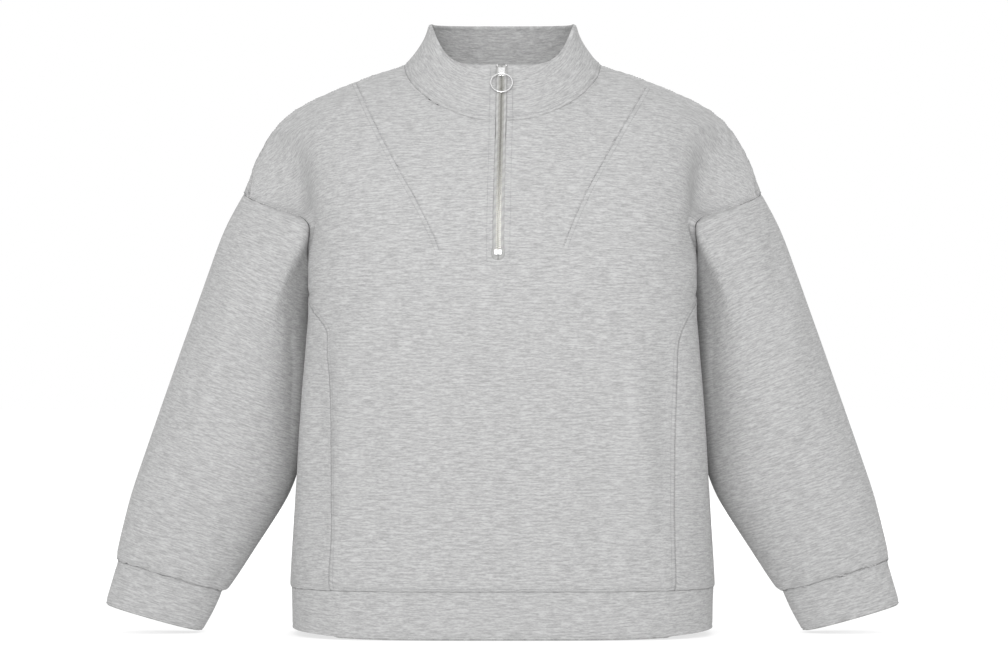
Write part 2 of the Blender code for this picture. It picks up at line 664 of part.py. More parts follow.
def seats_of(pieces):
    """For each piece, the number of the place that each of its points shares."""
    points = np.concatenate([piece.points for piece in pieces])
    tree = kdtree.KDTree(len(points))
    for number, point in enumerate(points):
        tree.insert(point, number)
    tree.balance()
    index = np.array([min(found[1] for found in tree.find_range(p, TOUCHING)) for p in points])
    return np.split(index, np.cumsum([len(piece.points) for piece in pieces])[:-1])


def fold_heights(piece, normals):
    """How far the folds lift each point of a piece."""
    lift = np.zeros(len(piece.points))
    flat = piece.points[:, [0, 2]]
    for group, face, x1, z1, x2, z2, half_width, height in FOLDS:
        if group != piece.group:
            continue
        start, run = np.array([x1, z1]), np.array([x2 - x1, z2 - z1])
        way = np.clip((flat - start) @ run / (run @ run), 0, 1)
        away = np.linalg.norm(flat - start - way[:, None] * run, axis=1)
        ends = np.sin(math.pi * np.clip(way, FOLD_END, 1 - FOLD_END)) ** FOLD_FULLNESS
        facing = np.clip(normals[:, 1] * face, 0, 1)
        lift += height * np.exp(-((away / half_width) ** 2)) * ends * facing
    return lift


def edge_pull(points, quads):
    """Each point's move away from the seams: half the gap, square to its piece's edges."""
    normals = face_normals(points, quads)
    owner = {}
    for number, quad in enumerate(quads):
        for a, b in zip(quad, quad[1:] + quad[:1]):
            owner[a, b] = number
    inward = {}
    for (a, b), number in owner.items():
        if (b, a) in owner:
            continue
        direction = unit(np.cross(unit(normals[number]), points[b] - points[a]))
        inward.setdefault(a, []).append(direction)
        inward.setdefault(b, []).append(direction)
    move = np.zeros_like(points)
    for point, (first, second) in inward.items():
        move[point] = HALF_GAP * (first + second) / (1 + first @ second)
    return move, [edge for edge in owner if edge[::-1] not in owner]


def wall(name, points, quads, normals, thickness, colour, seats=None):
    """A closed wall around a sheet, its edges pulled back from the seams.

    seats number the points alike in neighbouring pieces, so that both split the narrow faces
    along a seam the same way and those stay parallel. The inner quads start at the same corner
    as the outer ones, so that both are split along the same diagonal and the wall stays even.
    """
    pull, edges = edge_pull(points, quads)
    points = points + pull
    half = normals * thickness / 2
    count = len(points)
    faces = list(quads) + [tuple(count + i for i in (q[0], q[3], q[2], q[1])) for q in quads]
    seats = range(count) if seats is None else seats
    for a, b in edges:
        if seats[a] < seats[b]:
            faces += [(b, a, count + b), (a, count + a, count + b)]
        else:
            faces += [(b, a, count + a), (b, count + a, count + b)]
    mesh = bpy.data.meshes.new(name)
    mesh.from_pydata(np.concatenate([points + half, points - half]).tolist(), [], faces)
    mesh.shade_smooth()
    mesh.set_sharp_from_angle(angle=SHARP_ANGLE)
    return add_object(name, mesh, colour)


# ---------------------------------------------------------------- objects and materials
def material(name, finish):
    """A Principled material with a colour, a roughness and a metallic value."""
    colour, roughness, metallic = finish
    made = bpy.data.materials.new(name)
    made.use_nodes = True
    shader = made.node_tree.nodes["Principled BSDF"]
    shader.inputs["Base Color"].default_value = (*colour, 1.0)
    shader.inputs["Roughness"].default_value = roughness
    shader.inputs["Metallic"].default_value = metallic
    return made


def add_object(name, mesh, finish, collection="sweatshirt"):
    """An object of a mesh, in the part's collection, with its own material."""
    made = bpy.data.objects.new(name, mesh)
    made.data.materials.append(material(name, finish))
    bpy.data.collections[collection].objects.link(made)
    return made


def box_mesh(name, low, high):
    """A box between two corners."""
    mesh = bpy.data.meshes.new(name)
    work = bmesh.new()
    bmesh.ops.create_cube(work, size=1.0)
    for vertex in work.verts:
        share = np.array(vertex.co) + 0.5
        vertex.co = np.array(low) + share * (np.array(high) - np.array(low))
    work.to_mesh(mesh)
    work.free()
    return mesh


# ---------------------------------------------------------------- zip
def slit_falls():
    """Rows of the front panel down the slit, and one below its foot."""
    return panel_falls()[: YOKE_STEPS + SLIT_STEPS + 2]


def zip_middle():
    """Points down the middle of the zip, from the collar's rim to below the foot."""
    middles = [collar_point(0.0, i / COLLAR_STEPS) for i in range(COLLAR_STEPS)]
    middles += [panel(0.0, fall, False) for fall in slit_falls()]
    return np.array([(on_side(p, -1) + on_side(p, 1)) / 2 for p in middles])


class ZipLine:
    """The middle of the zip, from the collar's rim down, by distance along it."""

    def __init__(self):
        self.points = zip_middle()
        steps = np.linalg.norm(np.diff(self.points, axis=0), axis=1)
        self.along = np.concatenate([[0.0], np.cumsum(steps)])
        self.seam = self.along[COLLAR_STEPS]
        self.foot = self.along[-2]

    def point(self, way):
        """The point at a distance from the rim."""
        return np.array([curve_through(self.along, self.points[:, k], way) for k in range(3)])

    def frame(self, way):
        """(point, sideways, down, outward) there."""
        down = unit(self.point(way + NUDGE) - self.point(way - NUDGE))
        outward = unit(np.cross(down, (1.0, 0.0, 0.0)))
        return self.point(way), np.cross(outward, down), down, outward

    def sink(self, way):
        """How far behind the cloth's middle the tapes lie: not at all in the collar."""
        return TAPE_SINK * smooth((way - self.seam) / TAPE_SINK_RUN)

    def sag(self, way, across):
        """How far the front panel curves back this far from the zip's middle."""
        if way < self.seam:
            return 0.0
        fall = np.interp(way, self.along[COLLAR_STEPS:], slit_falls())
        near = [on_side(panel(share, fall, False), 1) for share in SAG_SHARES]
        _, _, _, outward = self.frame(way)
        backs = [(near[0] - point) @ outward for point in near]
        return float(np.interp(across - near[0][0], [p[0] - near[0][0] for p in near], backs))


def ribbon(name, line, ways, edges, thickness, finish):
    """A strip along the zip: edges gives its two sides at a distance down the line."""
    points, normals, quads = [], [], []
    for way in ways:
        middle, sideways, _, outward = line.frame(way)
        for across in edges(way):
            depth = line.sink(way) + line.sag(way, abs(across))
            points.append(middle + sideways * across - outward * depth)
            normals.append(outward)
    for row in range(len(ways) - 1):
        a = 2 * row
        quads.append((a, a + 2, a + 3, a + 1))
    return wall(name, np.array(points), quads, np.array(normals), thickness, finish)


def place(name, line, way, across=0.0, lift=0.0):
    """An empty on the zip, its X sideways, Y up along the chain and Z out of the cloth."""
    middle, sideways, down, outward = line.frame(way)
    where = middle + sideways * across + outward * (lift - line.sink(way))
    empty = bpy.data.objects.new(name, None)
    empty.matrix_world = Matrix(np.column_stack([sideways, -down, outward])).to_4x4()
    empty.location = where
    bpy.data.collections["sweatshirt"].objects.link(empty)
    return empty


def block(name, parent, size):
    """A small metal block centred on its parent empty."""
    half = np.array(size) / 2
    made = add_object(name, box_mesh(name, -half, half), ZIP_METAL)
    made.parent = parent
    return made


def slider(line):
    """The slider: two plates, the post between them, and a bail with a hole for the ring."""
    seat = place("slider_place", line, SLIDER_AT)
    half_width, half_length, far = SLIDER_WIDTH / 2, SLIDER_LENGTH / 2, SLIDER_LENGTH
    body_mesh = box_mesh(
        "slider", (-half_width, -half_length, -PLATE_OUTER), (half_width, half_length, BAIL_TOP)
    )
    made = add_object("slider", body_mesh, ZIP_METAL)
    made.parent = seat
    hole_low, hole_high = -HINGE_DROP - HINGE_HOLE / 2, -HINGE_DROP + HINGE_HOLE / 2
    hole_floor, hole_top = HINGE_LIFT - HINGE_HOLE / 2, HINGE_LIFT + HINGE_HOLE / 2
    cutters = {
        "channel_right": ((POST_HALF_WIDTH, -far, -PLATE_INNER), (far, far, PLATE_INNER)),
        "channel_left": ((-far, -far, -PLATE_INNER), (-POST_HALF_WIDTH, far, PLATE_INNER)),
        "channel_low": (
            (-half_width, -far, -PLATE_INNER),
            (half_width, half_length - POST_LENGTH, PLATE_INNER),
        ),
        "beside_bail_right": ((BAIL_HALF_WIDTH, -far, PLATE_OUTER), (far, far, far)),
        "beside_bail_left": ((-far, -far, PLATE_OUTER), (-BAIL_HALF_WIDTH, far, far)),
        "above_bail": ((-half_width, BAIL_END, PLATE_OUTER), (half_width, far, far)),
        "bail_hole": ((-far, hole_low, hole_floor), (far, hole_high, hole_top)),
    }
    for name, (low, high) in cutters.items():
        cutter = bpy.data.objects.new(name, box_mesh(name, low, high))
        cutter.parent = seat
        cutter.hide_render = True
        cutter.display_type = "WIRE"
        bpy.data.collections["cutters"].objects.link(cutter)
        cut = made.modifiers.new(name, "BOOLEAN")
        cut.operation = "DIFFERENCE"
        cut.object = cutter


def pull_ring(line):
    """The pull ring. Its hinge runs through the bail, along X of its empty."""
    hinge = place("pull_hinge", line, SLIDER_AT + HINGE_DROP, lift=HINGE_LIFT)
    radius = (RING_OUTER - RING_WIRE) / 2
    around, across = PULL_RING_SEGMENTS
    bpy.ops.mesh.primitive_torus_add(
        major_radius=radius,
        minor_radius=RING_WIRE / 2,
        major_segments=around,
        minor_segments=across,
    )
    made = bpy.context.active_object
    made.name = made.data.name = "pull_ring"
    for collection in list(made.users_collection):
        collection.objects.unlink(made)
    bpy.data.collections["sweatshirt"].objects.link(made)
    made.data.materials.append(material("pull_ring", ZIP_METAL))
    made.data.shade_smooth()
    made.data.transform(Matrix.Translation((0, -radius, 0)))
    made.rotation_euler.x = RING_REST_TILT
    made.parent = hinge


def zip_parts():
    """The tapes, the chain, the stops, the slider and its ring."""
    line = ZipLine()
    stop_middle = line.foot - BOTTOM_STOP_UP
    chain_top = SLIDER_AT - SLIDER_LENGTH / 2 + POST_LENGTH + SEAM_GAP
    chain_foot = stop_middle - BOTTOM_STOP[1] / 2 - SEAM_GAP

    def chain_edges(_way):
        return -CHAIN_HALF_WIDTH, CHAIN_HALF_WIDTH

    def tape_edges(way):
        wide = way > line.seam + TAPE_SINK_RUN
        return TAPE_EDGE, TAPE_IN_BODY if wide else TAPE_IN_COLLAR

    chain_ways = np.linspace(chain_top, chain_foot, CHAIN_ROWS)
    ribbon("zip_chain", line, chain_ways, chain_edges, CHAIN_THICKNESS, ZIP_METAL)
    widening = line.seam + TAPE_SINK_RUN
    upper = np.linspace(TAPE_TOP, widening, TAPE_ROWS)
    lower = np.linspace(widening + TAPE_SHOULDER, line.foot + TAPE_BELOW_FOOT, TAPE_ROWS)
    ways = np.concatenate([upper, lower])
    ribbon("zip_tape_right", line, ways, tape_edges, TAPE_THICKNESS, TAPE_GREY)
    ribbon(
        "zip_tape_left",
        line,
        ways,
        lambda way: tuple(-across for across in reversed(tape_edges(way))),
        TAPE_THICKNESS,
        TAPE_GREY,
    )
    for hand, side in (("right", 1), ("left", -1)):
        name, across = f"top_stop_{hand}", side * TOP_STOP_ACROSS
        seat = place(f"{name}_place", line, TOP_STOP_DOWN, across, TOP_STOP_LIFT)
        block(name, seat, TOP_STOP)
    seat = place("bottom_stop_place", line, stop_middle, lift=BOTTOM_STOP_LIFT)
    block("bottom_stop", seat, BOTTOM_STOP)
    slider(line)
    pull_ring(line)


# ---------------------------------------------------------------- the part
def clear_scene():
    """Removes what the scene holds and makes the part's collections."""
    for found in list(bpy.data.objects):
        bpy.data.objects.remove(found, do_unlink=True)
    for name in ("sweatshirt", "cutters"):
        bpy.context.scene.collection.children.link(bpy.data.collections.new(name))
    bpy.data.collections["cutters"].hide_render = True


def main():
    """Lays the pieces out as one sewn garment, folds it and cuts it into walls."""
    clear_scene()
    pieces = cloth_pieces()
    seats = seats_of(pieces)
    totals = sewn_normals(pieces, seats)
    for piece, seat in zip(pieces, seats):
        normals = totals[piece.group][seat]
        piece.points = piece.points + normals * fold_heights(piece, normals)[:, None]
    joined, stand_off = armhole_normals(sewn_normals(pieces, seats))
    for piece, seat in zip(pieces, seats):
        if piece.group == "sleeve":
            piece.points = piece.points + stand_off[seat]
        normals = joined[piece.group][seat]
        wall(piece.name, piece.points, piece.quads, normals, piece.thickness, piece.colour, seat)
    zip_parts()


main()
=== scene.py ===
"""The looks of a quarter-zip sweatshirt: heather fleece, its sewing and its metal zip.

The garment is filled out as worn, with nobody in it, above a pale studio floor. Its front
faces -Y, +X is the right of the front view, +Z is up, and the origin is the middle of the
neck at the height where the shoulder seams meet the collar. Lengths are in metres.

The cloth is laid out as coarse grids on the garment's surface and sewn into one sheet. That
sheet is smoothed, folded and puckered, and then cut apart into its pieces, whose edges roll
in at the seams and which get the cloth's thickness. Threads, teeth and metal lie on it.
"""

import functools
import logging
import math
from collections.abc import Iterable, Sequence
from dataclasses import dataclass, field
from enum import Enum

import bmesh
import bpy
import numpy as np
from mathutils import Matrix, Vector, kdtree
from mathutils.bvhtree import BVHTree


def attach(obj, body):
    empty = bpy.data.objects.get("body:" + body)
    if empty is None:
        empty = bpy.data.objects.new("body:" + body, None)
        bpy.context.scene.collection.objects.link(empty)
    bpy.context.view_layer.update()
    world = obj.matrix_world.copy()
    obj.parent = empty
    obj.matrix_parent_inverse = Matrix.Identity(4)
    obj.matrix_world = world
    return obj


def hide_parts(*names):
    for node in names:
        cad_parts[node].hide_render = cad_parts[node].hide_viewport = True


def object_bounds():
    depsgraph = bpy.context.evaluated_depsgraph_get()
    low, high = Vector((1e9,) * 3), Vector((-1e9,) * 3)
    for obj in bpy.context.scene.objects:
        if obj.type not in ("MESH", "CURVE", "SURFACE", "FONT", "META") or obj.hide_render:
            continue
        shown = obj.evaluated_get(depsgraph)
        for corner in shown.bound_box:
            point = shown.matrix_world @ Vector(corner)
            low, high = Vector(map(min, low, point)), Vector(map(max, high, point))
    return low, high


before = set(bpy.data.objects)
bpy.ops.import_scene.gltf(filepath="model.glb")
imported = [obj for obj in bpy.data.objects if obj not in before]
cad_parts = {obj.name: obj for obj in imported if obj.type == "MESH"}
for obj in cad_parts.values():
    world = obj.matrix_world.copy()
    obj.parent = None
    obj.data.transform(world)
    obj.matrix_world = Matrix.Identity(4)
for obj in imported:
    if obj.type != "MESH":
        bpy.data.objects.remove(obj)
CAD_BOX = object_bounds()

Array = np.ndarray
Pair = tuple[float, float]
Triple = tuple[float, float, float]
LOG = logging.getLogger("sweatshirt")
GRAIN = "grain"  # name of the cloth's map, in metres across and along the knit
MM = 0.001
WELD = 1e-6  # points nearer than this are one
SLANT = 10.0  # radians that a wave texture's slanting bands turn for each unit of an axis


class Side(Enum):
    """A side of the garment as seen from the front, by the sign of X there."""

    LEFT = -1
    RIGHT = 1

    @property
    def label(self) -> str:
        """The word for it in the names of pieces."""
        return self.name.lower()


class Face(Enum):
    """The front or back of the garment, by the sign of Y there."""

    FRONT = -1
    BACK = 1


class Group(Enum):
    """What a piece of cloth goes round."""

    TORSO = 0
    ARM = 1


class Slot(Enum):
    """The record's material slots."""

    CLOTH = "heather_fleece"
    TAPE = "zip_tape"
    TEETH = "zip_teeth"
    METAL = "zip_hardware"


# ---- numbers and curves
@dataclass(frozen=True)
class Table:
    """A short table with named columns, read as smooth curves that never swing past a row."""

    columns: tuple[str, ...]
    rows: tuple[tuple[float, ...], ...]

    @property
    def values(self) -> Array:
        """All the rows."""
        return np.array(self.rows, float)

    def at(self, key: float) -> Array:
        """The columns after the first, where the first has the value key."""
        return curve_through(self.values[:, 0], self.values[:, 1:], key)


def hermite(start: Array, leaving: Array, end: Array, arriving: Array, t: float) -> Array:
    """The cubic between two points with the given slopes at its ends.

    Args:
        start: first point.
        leaving: slope there.
        end: last point.
        arriving: slope there.
        t: share of the way, 0 to 1.

    Returns:
        The point at t.
    """
    return (
        (2 * t**3 - 3 * t**2 + 1) * start
        + (t**3 - 2 * t**2 + t) * leaving
        + (3 * t**2 - 2 * t**3) * end
        + (t**3 - t**2) * arriving
    )


def curve_through(keys: Array, values: Array, key: float) -> Array:
    """A smooth curve through values at keys that keeps the shape of the data.

    Args:
        keys: where the values hold, in any order.
        values: one value or point for each key.
        key: where to read the curve.

    Returns:
        The value or point there.
    """
    order = np.argsort(keys)
    keys, values = np.asarray(keys)[order], np.asarray(values)[order]
    steps = np.diff(values, axis=0) / np.diff(keys).reshape(-1, *[1] * (values.ndim - 1))
    product = steps[1:] * steps[:-1]
    total = np.where(product > 0, steps[1:] + steps[:-1], 1.0)
    slopes = np.concatenate([steps[:1], np.where(product > 0, 2 * product / total, 0), steps[-1:]])
    i = int(np.clip(np.searchsorted(keys, key) - 1, 0, len(keys) - 2))
    span = keys[i + 1] - keys[i]
    return hermite(
        values[i], slopes[i] * span, values[i + 1], slopes[i + 1] * span, (key - keys[i]) / span
    )


def add_object(name: str, data: bpy.types.ID) -> bpy.types.Object:
    """A new object in the scene.

    Args:
        name: of the object.
        data: its mesh, camera or light.

    Returns:
        The object.
    """
    made = bpy.data.objects.new(name, data)
    bpy.context.scene.collection.objects.link(made)
    return made


def unit(vector: Array) -> Array:
    """The vector at length one."""
    return vector / np.linalg.norm(vector)


def smooth(t: float) -> float:
    """0 below 0, 1 above 1 and an even S between."""
    t = min(max(t, 0.0), 1.0)
    return t * t * (3 - 2 * t)


def distances(points: Array) -> Array:
    """Distance of each point of a line from its first, along the line."""
    return np.concatenate([[0.0], np.cumsum(np.linalg.norm(np.diff(points, axis=0), axis=1))])


def mirrored(points: Array) -> Array:
    """A grid for the other side of the body: its columns run the other way round."""
    return points[:, ::-1] * (-1, 1, 1)


def round_trip(ways: Sequence[float]) -> list[tuple[int, float]]:
    """(hand, way) of columns round +X to the middle of the back, and home along -X."""
    return [(1, way) for way in ways] + [(-1, way) for way in reversed(ways[:-1])]


def read(items: bpy.types.bpy_prop_collection, name: str, width: int = 1, kind: type = float) -> Array:
    """One property of all the items of a mesh.

    Args:
        items: its vertices, loops or polygons.
        name: of the property.
        width: how many numbers it has for each item.
        kind: of number.

    Returns:
        The numbers, in one row.
    """
    values = np.empty(len(items) * width, kind)
    items.foreach_get(name, values)
    return values


# ---- the garment's surface
@dataclass(frozen=True)
class Torso:
    """The body as a stack of rings, flattened at the sides where the arms press."""

    chest: float = -0.200
    join: float = -0.262  # where the side panels' seams meet the armhole
    underarm: float = -0.293
    hem: float = -0.607
    hollow_reach: float = 0.060
    hollow_middle: float = 0.010
    back_edge_scale: float = 0.85
    samples: int = 181
    rings: Table = Table(
        ("height", "half_width", "front", "back", "square", "hollow"),
        (
            (-0.150, 0.2360, 0.150, 0.118, 2.9, 0.018),
            (-0.200, 0.2345, 0.160, 0.127, 3.0, 0.022),
            (-0.262, 0.2330, 0.163, 0.132, 3.1, 0.026),
            (-0.300, 0.2350, 0.161, 0.133, 3.1, 0.0290),
            (-0.350, 0.2400, 0.157, 0.132, 3.1, 0.0335),
            (-0.400, 0.2450, 0.153, 0.130, 3.1, 0.0345),
            (-0.450, 0.2470, 0.150, 0.128, 3.1, 0.0270),
            (-0.500, 0.2465, 0.147, 0.127, 3.1, 0.0130),
            (-0.550, 0.2460, 0.144, 0.126, 3.1, 0.0040),
            (-0.597, 0.2463, 0.1423, 0.1263, 3.1, 0.0),
            (-0.607, 0.2450, 0.141, 0.125, 3.1, 0.0),
            (-0.665, 0.2440, 0.139, 0.123, 3.1, 0.0),
        ),
    )
    armhole_edge: Table = Table(
        ("height", "depth"), ((-0.200, 0.080), (-0.222, 0.062), (-0.244, 0.045), (-0.262, 0.030))
    )
    side_seam: Table = Table(
        ("height", "depth"),
        (
            (-0.262, 0.030),
            (-0.272, 0.062),
            (-0.285, 0.092),
            (-0.315, 0.1165),
            (-0.350, 0.1185),
            (-0.410, 0.1195),
            (-0.500, 0.1170),
            (-0.607, 0.1125),
        ),
    )

    @functools.lru_cache(maxsize=None)
    def ring(self, height: float) -> tuple[Array, Array]:
        """Half a ring from the middle of the front round +X to that of the back.

        Args:
            height: of the ring.

        Returns:
            Its points, and the share of its length at each.
        """
        half_width, front, back, square, hollow = self.rings.at(height)
        angle = np.linspace(0.0, math.pi, self.samples)
        x = half_width * np.abs(np.sin(angle)) ** (2 / square)
        x[[0, -1]] = 0.0
        y = np.where(np.cos(angle) > 0, -front, back) * np.abs(np.cos(angle)) ** (2 / square)
        pressed = hollow * np.exp(-(((y - self.hollow_middle) / self.hollow_reach) ** 2))
        x = x - pressed * np.minimum(1, x / half_width)
        points = np.stack([x, y, np.full_like(x, height)], axis=1)
        along = distances(points)
        return points, along / along[-1]

    def point(self, height: float, share: float) -> Array:
        """The point of a ring at a share from the middle of its front, below 0 on -X.

        Args:
            height: of the ring.
            share: of half its length, 1 in the middle of the back.

        Returns:
            The point.
        """
        points, along = self.ring(round(height, 7))
        found = np.array([np.interp(abs(share), along, points[:, k]) for k in range(3)])
        found[0] *= math.copysign(1.0, share)
        return found

    def edge_share(self, height: float, back: bool) -> float:
        """Share of the ring that half the front or back panel covers.

        Args:
            height: of the ring.
            back: whether it is the back panel.

        Returns:
            The share, from the panel's middle to its edge.
        """
        table = self.armhole_edge if height >= self.join else self.side_seam
        depth = float(table.at(height)[0])
        points, along = self.ring(round(height, 7))
        if back:
            return 1 - float(np.interp(depth * self.back_edge_scale, points[:, 1], along))
        return float(np.interp(-depth, points[:, 1], along))


@dataclass(frozen=True)
class Panels:
    """The front and back panels, from the neck and the shoulder seams down to the hem."""

    torso: Torso = field(default_factory=Torso)
    neck_half_width: float = 0.1152
    neck_front: Pair = (-0.118, -0.0698)  # depth and height of its middle
    neck_back: Pair = (0.070, -0.018)
    neck_rounding: float = 1.25
    neck_share: float = 0.42
    shoulder: Table = Table(
        ("across", "depth", "height"),
        (
            (0.1152, 0.000, 0.0000),
            (0.1316, 0.002, -0.0050),
            (0.1790, 0.004, -0.0225),
            (0.2200, 0.004, -0.0400),
            (0.2498, 0.002, -0.0575),
            (0.2662, 0.000, -0.0750),
            (0.2779, -0.002, -0.0925),
            (0.2870, -0.008, -0.1110),
            (0.2930, -0.021, -0.1330),
            (0.2954, -0.036, -0.1545),
        ),
    )
    leaves_front: Triple = (0.0, -0.50, -0.86)
    leaves_back: Triple = (0.0, -0.62, -0.78)
    leaves_corner: Triple = (0.62, -0.72, -0.26)
    leaves_across: float = 0.72
    leaves_along: float = 0.66
    fan_run: float = 1 / 3
    tip_run: float = 0.45
    tip_tangent: Triple = (0.72, 0.82, 0.42)
    neck_pull: float = 0.95
    tip_pull: float = 1.15
    neck_steps: tuple[int, int] = (7, 6)  # half the neck seam in front and behind
    shoulder_steps: int = 7
    yoke_steps: int = 7
    yoke_crowding: float = 1.25
    slit_steps: int = 2
    armhole_steps: int = 2
    body_steps: int = 10
    body_crowding: float = 1.4
    side_steps: int = 6
    hem_bulge: float = 0.010
    zip_opening: float = 0.0125
    zip_foot: float = -0.2275
    zip_top: float = -0.003
    zip_shift: Pair = (-0.0010, -0.0050)  # at its top and foot
    zip_reach: float = 0.060
    zip_columns: int = 3
    evening: float = 0.5
    evening_passes: int = 3
    nudge: float = 1e-4

    def neck_seam(self, turn: float) -> Array:
        """The neck seam: turn 0 at the middle of the front, 1 at the shoulder, 2 behind.

        Args:
            turn: how far round.

        Returns:
            The point on +X.
        """
        forward = math.cos(turn * math.pi / 2)
        depth, height = self.neck_front if forward > 0 else self.neck_back
        reach = abs(forward)
        sideways = self.neck_half_width * math.sin(turn * math.pi / 2)
        return np.array([sideways, depth * reach, height * reach**self.neck_rounding])

    def shoulder_seam(self, share: float) -> Array:
        """The shoulder seam, 0 at the neck and 1 at the armhole.

        Args:
            share: of its length.

        Returns:
            The point on +X.
        """
        points = self.shoulder.values
        along = distances(points)
        return curve_through(along / along[-1], points, share)

    def top(self, share: float, back: bool) -> tuple[Array, Array]:
        """The seam that a yoke column starts from.

        Args:
            share: of the half panel's width, from its middle.
            back: whether it is the back panel.

        Returns:
            The point, and the way in which the cloth leaves it.
        """
        facing = np.array([1.0, -1.0, 1.0]) if back else np.ones(3)
        if share <= self.neck_share:
            turn = share / self.neck_share
            middle = np.array(self.leaves_back if back else self.leaves_front)
            leaving = middle * (1 - turn**2) + np.array(self.leaves_corner) * turn**2
            return self.neck_seam(2 - turn if back else turn), unit(leaving * facing)
        along = (share - self.neck_share) / (1 - self.neck_share)
        after = self.shoulder_seam(min(along + self.nudge, 1.0))
        slope = unit(after - self.shoulder_seam(max(along - self.nudge, 0.0)))
        across = np.array([0.0, -1.0, 0.0]) * facing
        tip = np.array(self.tip_tangent) * (1 if back else -1)
        straight = smooth(along / self.fan_run)
        fan = (self.leaves_across * across + self.leaves_along * slope) * (1 - straight)
        fan = fan + across * straight
        late = smooth((along - 1 + self.tip_run) / self.tip_run)
        return self.shoulder_seam(along), unit(fan * (1 - late) + tip * late)

    def below_chest(self, share: float, height: float, back: bool) -> Array:
        """A point of a panel below the chest ring; share 1 is its edge."""
        edge = self.torso.edge_share(height, back)
        return self.torso.point(height, 1 - share * edge if back else share * edge)

    def point(self, share: float, fall: float, back: bool) -> Array:
        """A point of a half panel: fall 0 to 1 yoke, to 2 armhole, to 3 the hem seam.

        Args:
            share: of the half panel's width, from its middle.
            fall: how far down.
            back: whether it is the back panel.

        Returns:
            The point on +X.
        """
        torso = self.torso
        if fall >= 2:
            height = torso.join + (torso.hem - torso.join) * (fall - 2)
            return self.below_chest(share, height, back)
        if fall >= 1:
            height = torso.chest + (torso.join - torso.chest) * (fall - 1)
            return self.below_chest(share, height, back)
        start, leaving = self.top(share, back)
        end = self.below_chest(share, torso.chest, back)
        arriving = unit(self.below_chest(share, torso.chest - self.nudge, back) - end)
        reach = np.linalg.norm(end - start)
        pull = self.neck_pull * (1 - share) + self.tip_pull * share
        return hermite(start, leaving * reach * pull, end, arriving * reach, fall)

    def on_side(self, point: Array, hand: int) -> Array:
        """A +X point on the given hand, moved for the zip's opening and its lean.

        Args:
            point: on +X.
            hand: 1 for +X and -1 for -X.

        Returns:
            The moved point.
        """
        x, y, z = point
        if y < 0 and x < self.zip_reach:
            x = self.zip_opening / 2 + x * (1 - self.zip_opening / 2 / self.zip_reach)
        low = smooth((z - self.zip_top) / (self.zip_foot - self.zip_top))
        fade = smooth((z - self.torso.hem) / (self.zip_foot - self.torso.hem))
        lean = (self.zip_shift[0] + (self.zip_shift[1] - self.zip_shift[0]) * low) * fade
        near = 1 - smooth(x / self.zip_reach) if y < 0 else 0.0
        return np.array([hand * x + lean * near, y, z])

    def shares(self, back: bool) -> list[float]:
        """Column shares of half a panel, from its middle to its edge.

        Args:
            back: whether it is the back panel.

        Returns:
            The shares, from 0 to 1.
        """
        steps = self.neck_steps[back]
        neck = [self.neck_share * i / steps for i in range(steps)]
        rest = 1 - self.neck_share
        steps = self.shoulder_steps
        return neck + [self.neck_share + rest * i / steps for i in range(steps + 1)]

    def upper_falls(self) -> list[float]:
        """Rows from the top of a panel to where the side seam starts.

        Returns:
            The falls, from 0 to 2.
        """
        torso = self.torso
        foot = (self.zip_foot - torso.chest) / (torso.join - torso.chest)
        yoke = [(i / self.yoke_steps) ** self.yoke_crowding for i in range(self.yoke_steps)]
        slit = [1 + foot * i / self.slit_steps for i in range(self.slit_steps)]
        steps = self.armhole_steps
        return yoke + slit + [1 + foot + (1 - foot) * i / steps for i in range(steps + 1)]

    def lower_falls(self) -> list[float]:
        """Rows below that, down to the hem seam, as shares of the way.

        Returns:
            The shares, the last one 1.
        """
        bulge = 1 - self.hem_bulge / (self.torso.join - self.torso.hem)
        steps, power = self.body_steps, self.body_crowding
        return [bulge * (i / steps) ** power for i in range(1, steps + 1)] + [1.0]

    def falls(self) -> list[float]:
        """All rows of the front and back panels."""
        return self.upper_falls() + [2 + fall for fall in self.lower_falls()]

    def slit_falls(self) -> list[float]:
        """Rows down the slit, and one below its foot."""
        return self.falls()[: self.yoke_steps + self.slit_steps + 2]

    def evened(self, points: Array, held: int = 0) -> Array:
        """A panel with its yoke's bends evened out, but for its edges and held columns.

        Args:
            points: the panel's grid, which is changed.
            held: how many columns on each side of its middle stay.

        Returns:
            The grid.
        """
        inner = points[1 : self.yoke_steps]
        share = np.full(inner.shape[1] - 2, self.evening)
        middle = len(share) // 2
        share[middle - held : middle + held] = 0
        for _ in range(self.evening_passes):
            between = (inner[:, :-2] + inner[:, 2:]) / 2
            inner[:, 1:-1] += (between - inner[:, 1:-1]) * share[:, None]
        return points

    def front(self) -> Array:
        """The front panel's grid, from -X to +X, with a column on each side of the zip.

        Returns:
            Rows of points, from the top down.
        """
        shares = self.shares(False)
        columns = [(-1, share) for share in reversed(shares)] + [(1, share) for share in shares]
        rows = [
            [self.on_side(self.point(s, fall, False), hand) for hand, s in columns]
            for fall in self.falls()
        ]
        return self.evened(np.array(rows), held=self.zip_columns)

    def back(self) -> Array:
        """The back panel's grid, from +X to -X.

        Returns:
            Rows of points, from the top down.
        """
        shares = self.shares(True)[::-1]
        half = np.array([[self.point(s, fall, True) for s in shares] for fall in self.falls()])
        return self.evened(np.concatenate([half, mirrored(half)[:, 1:]], axis=1))

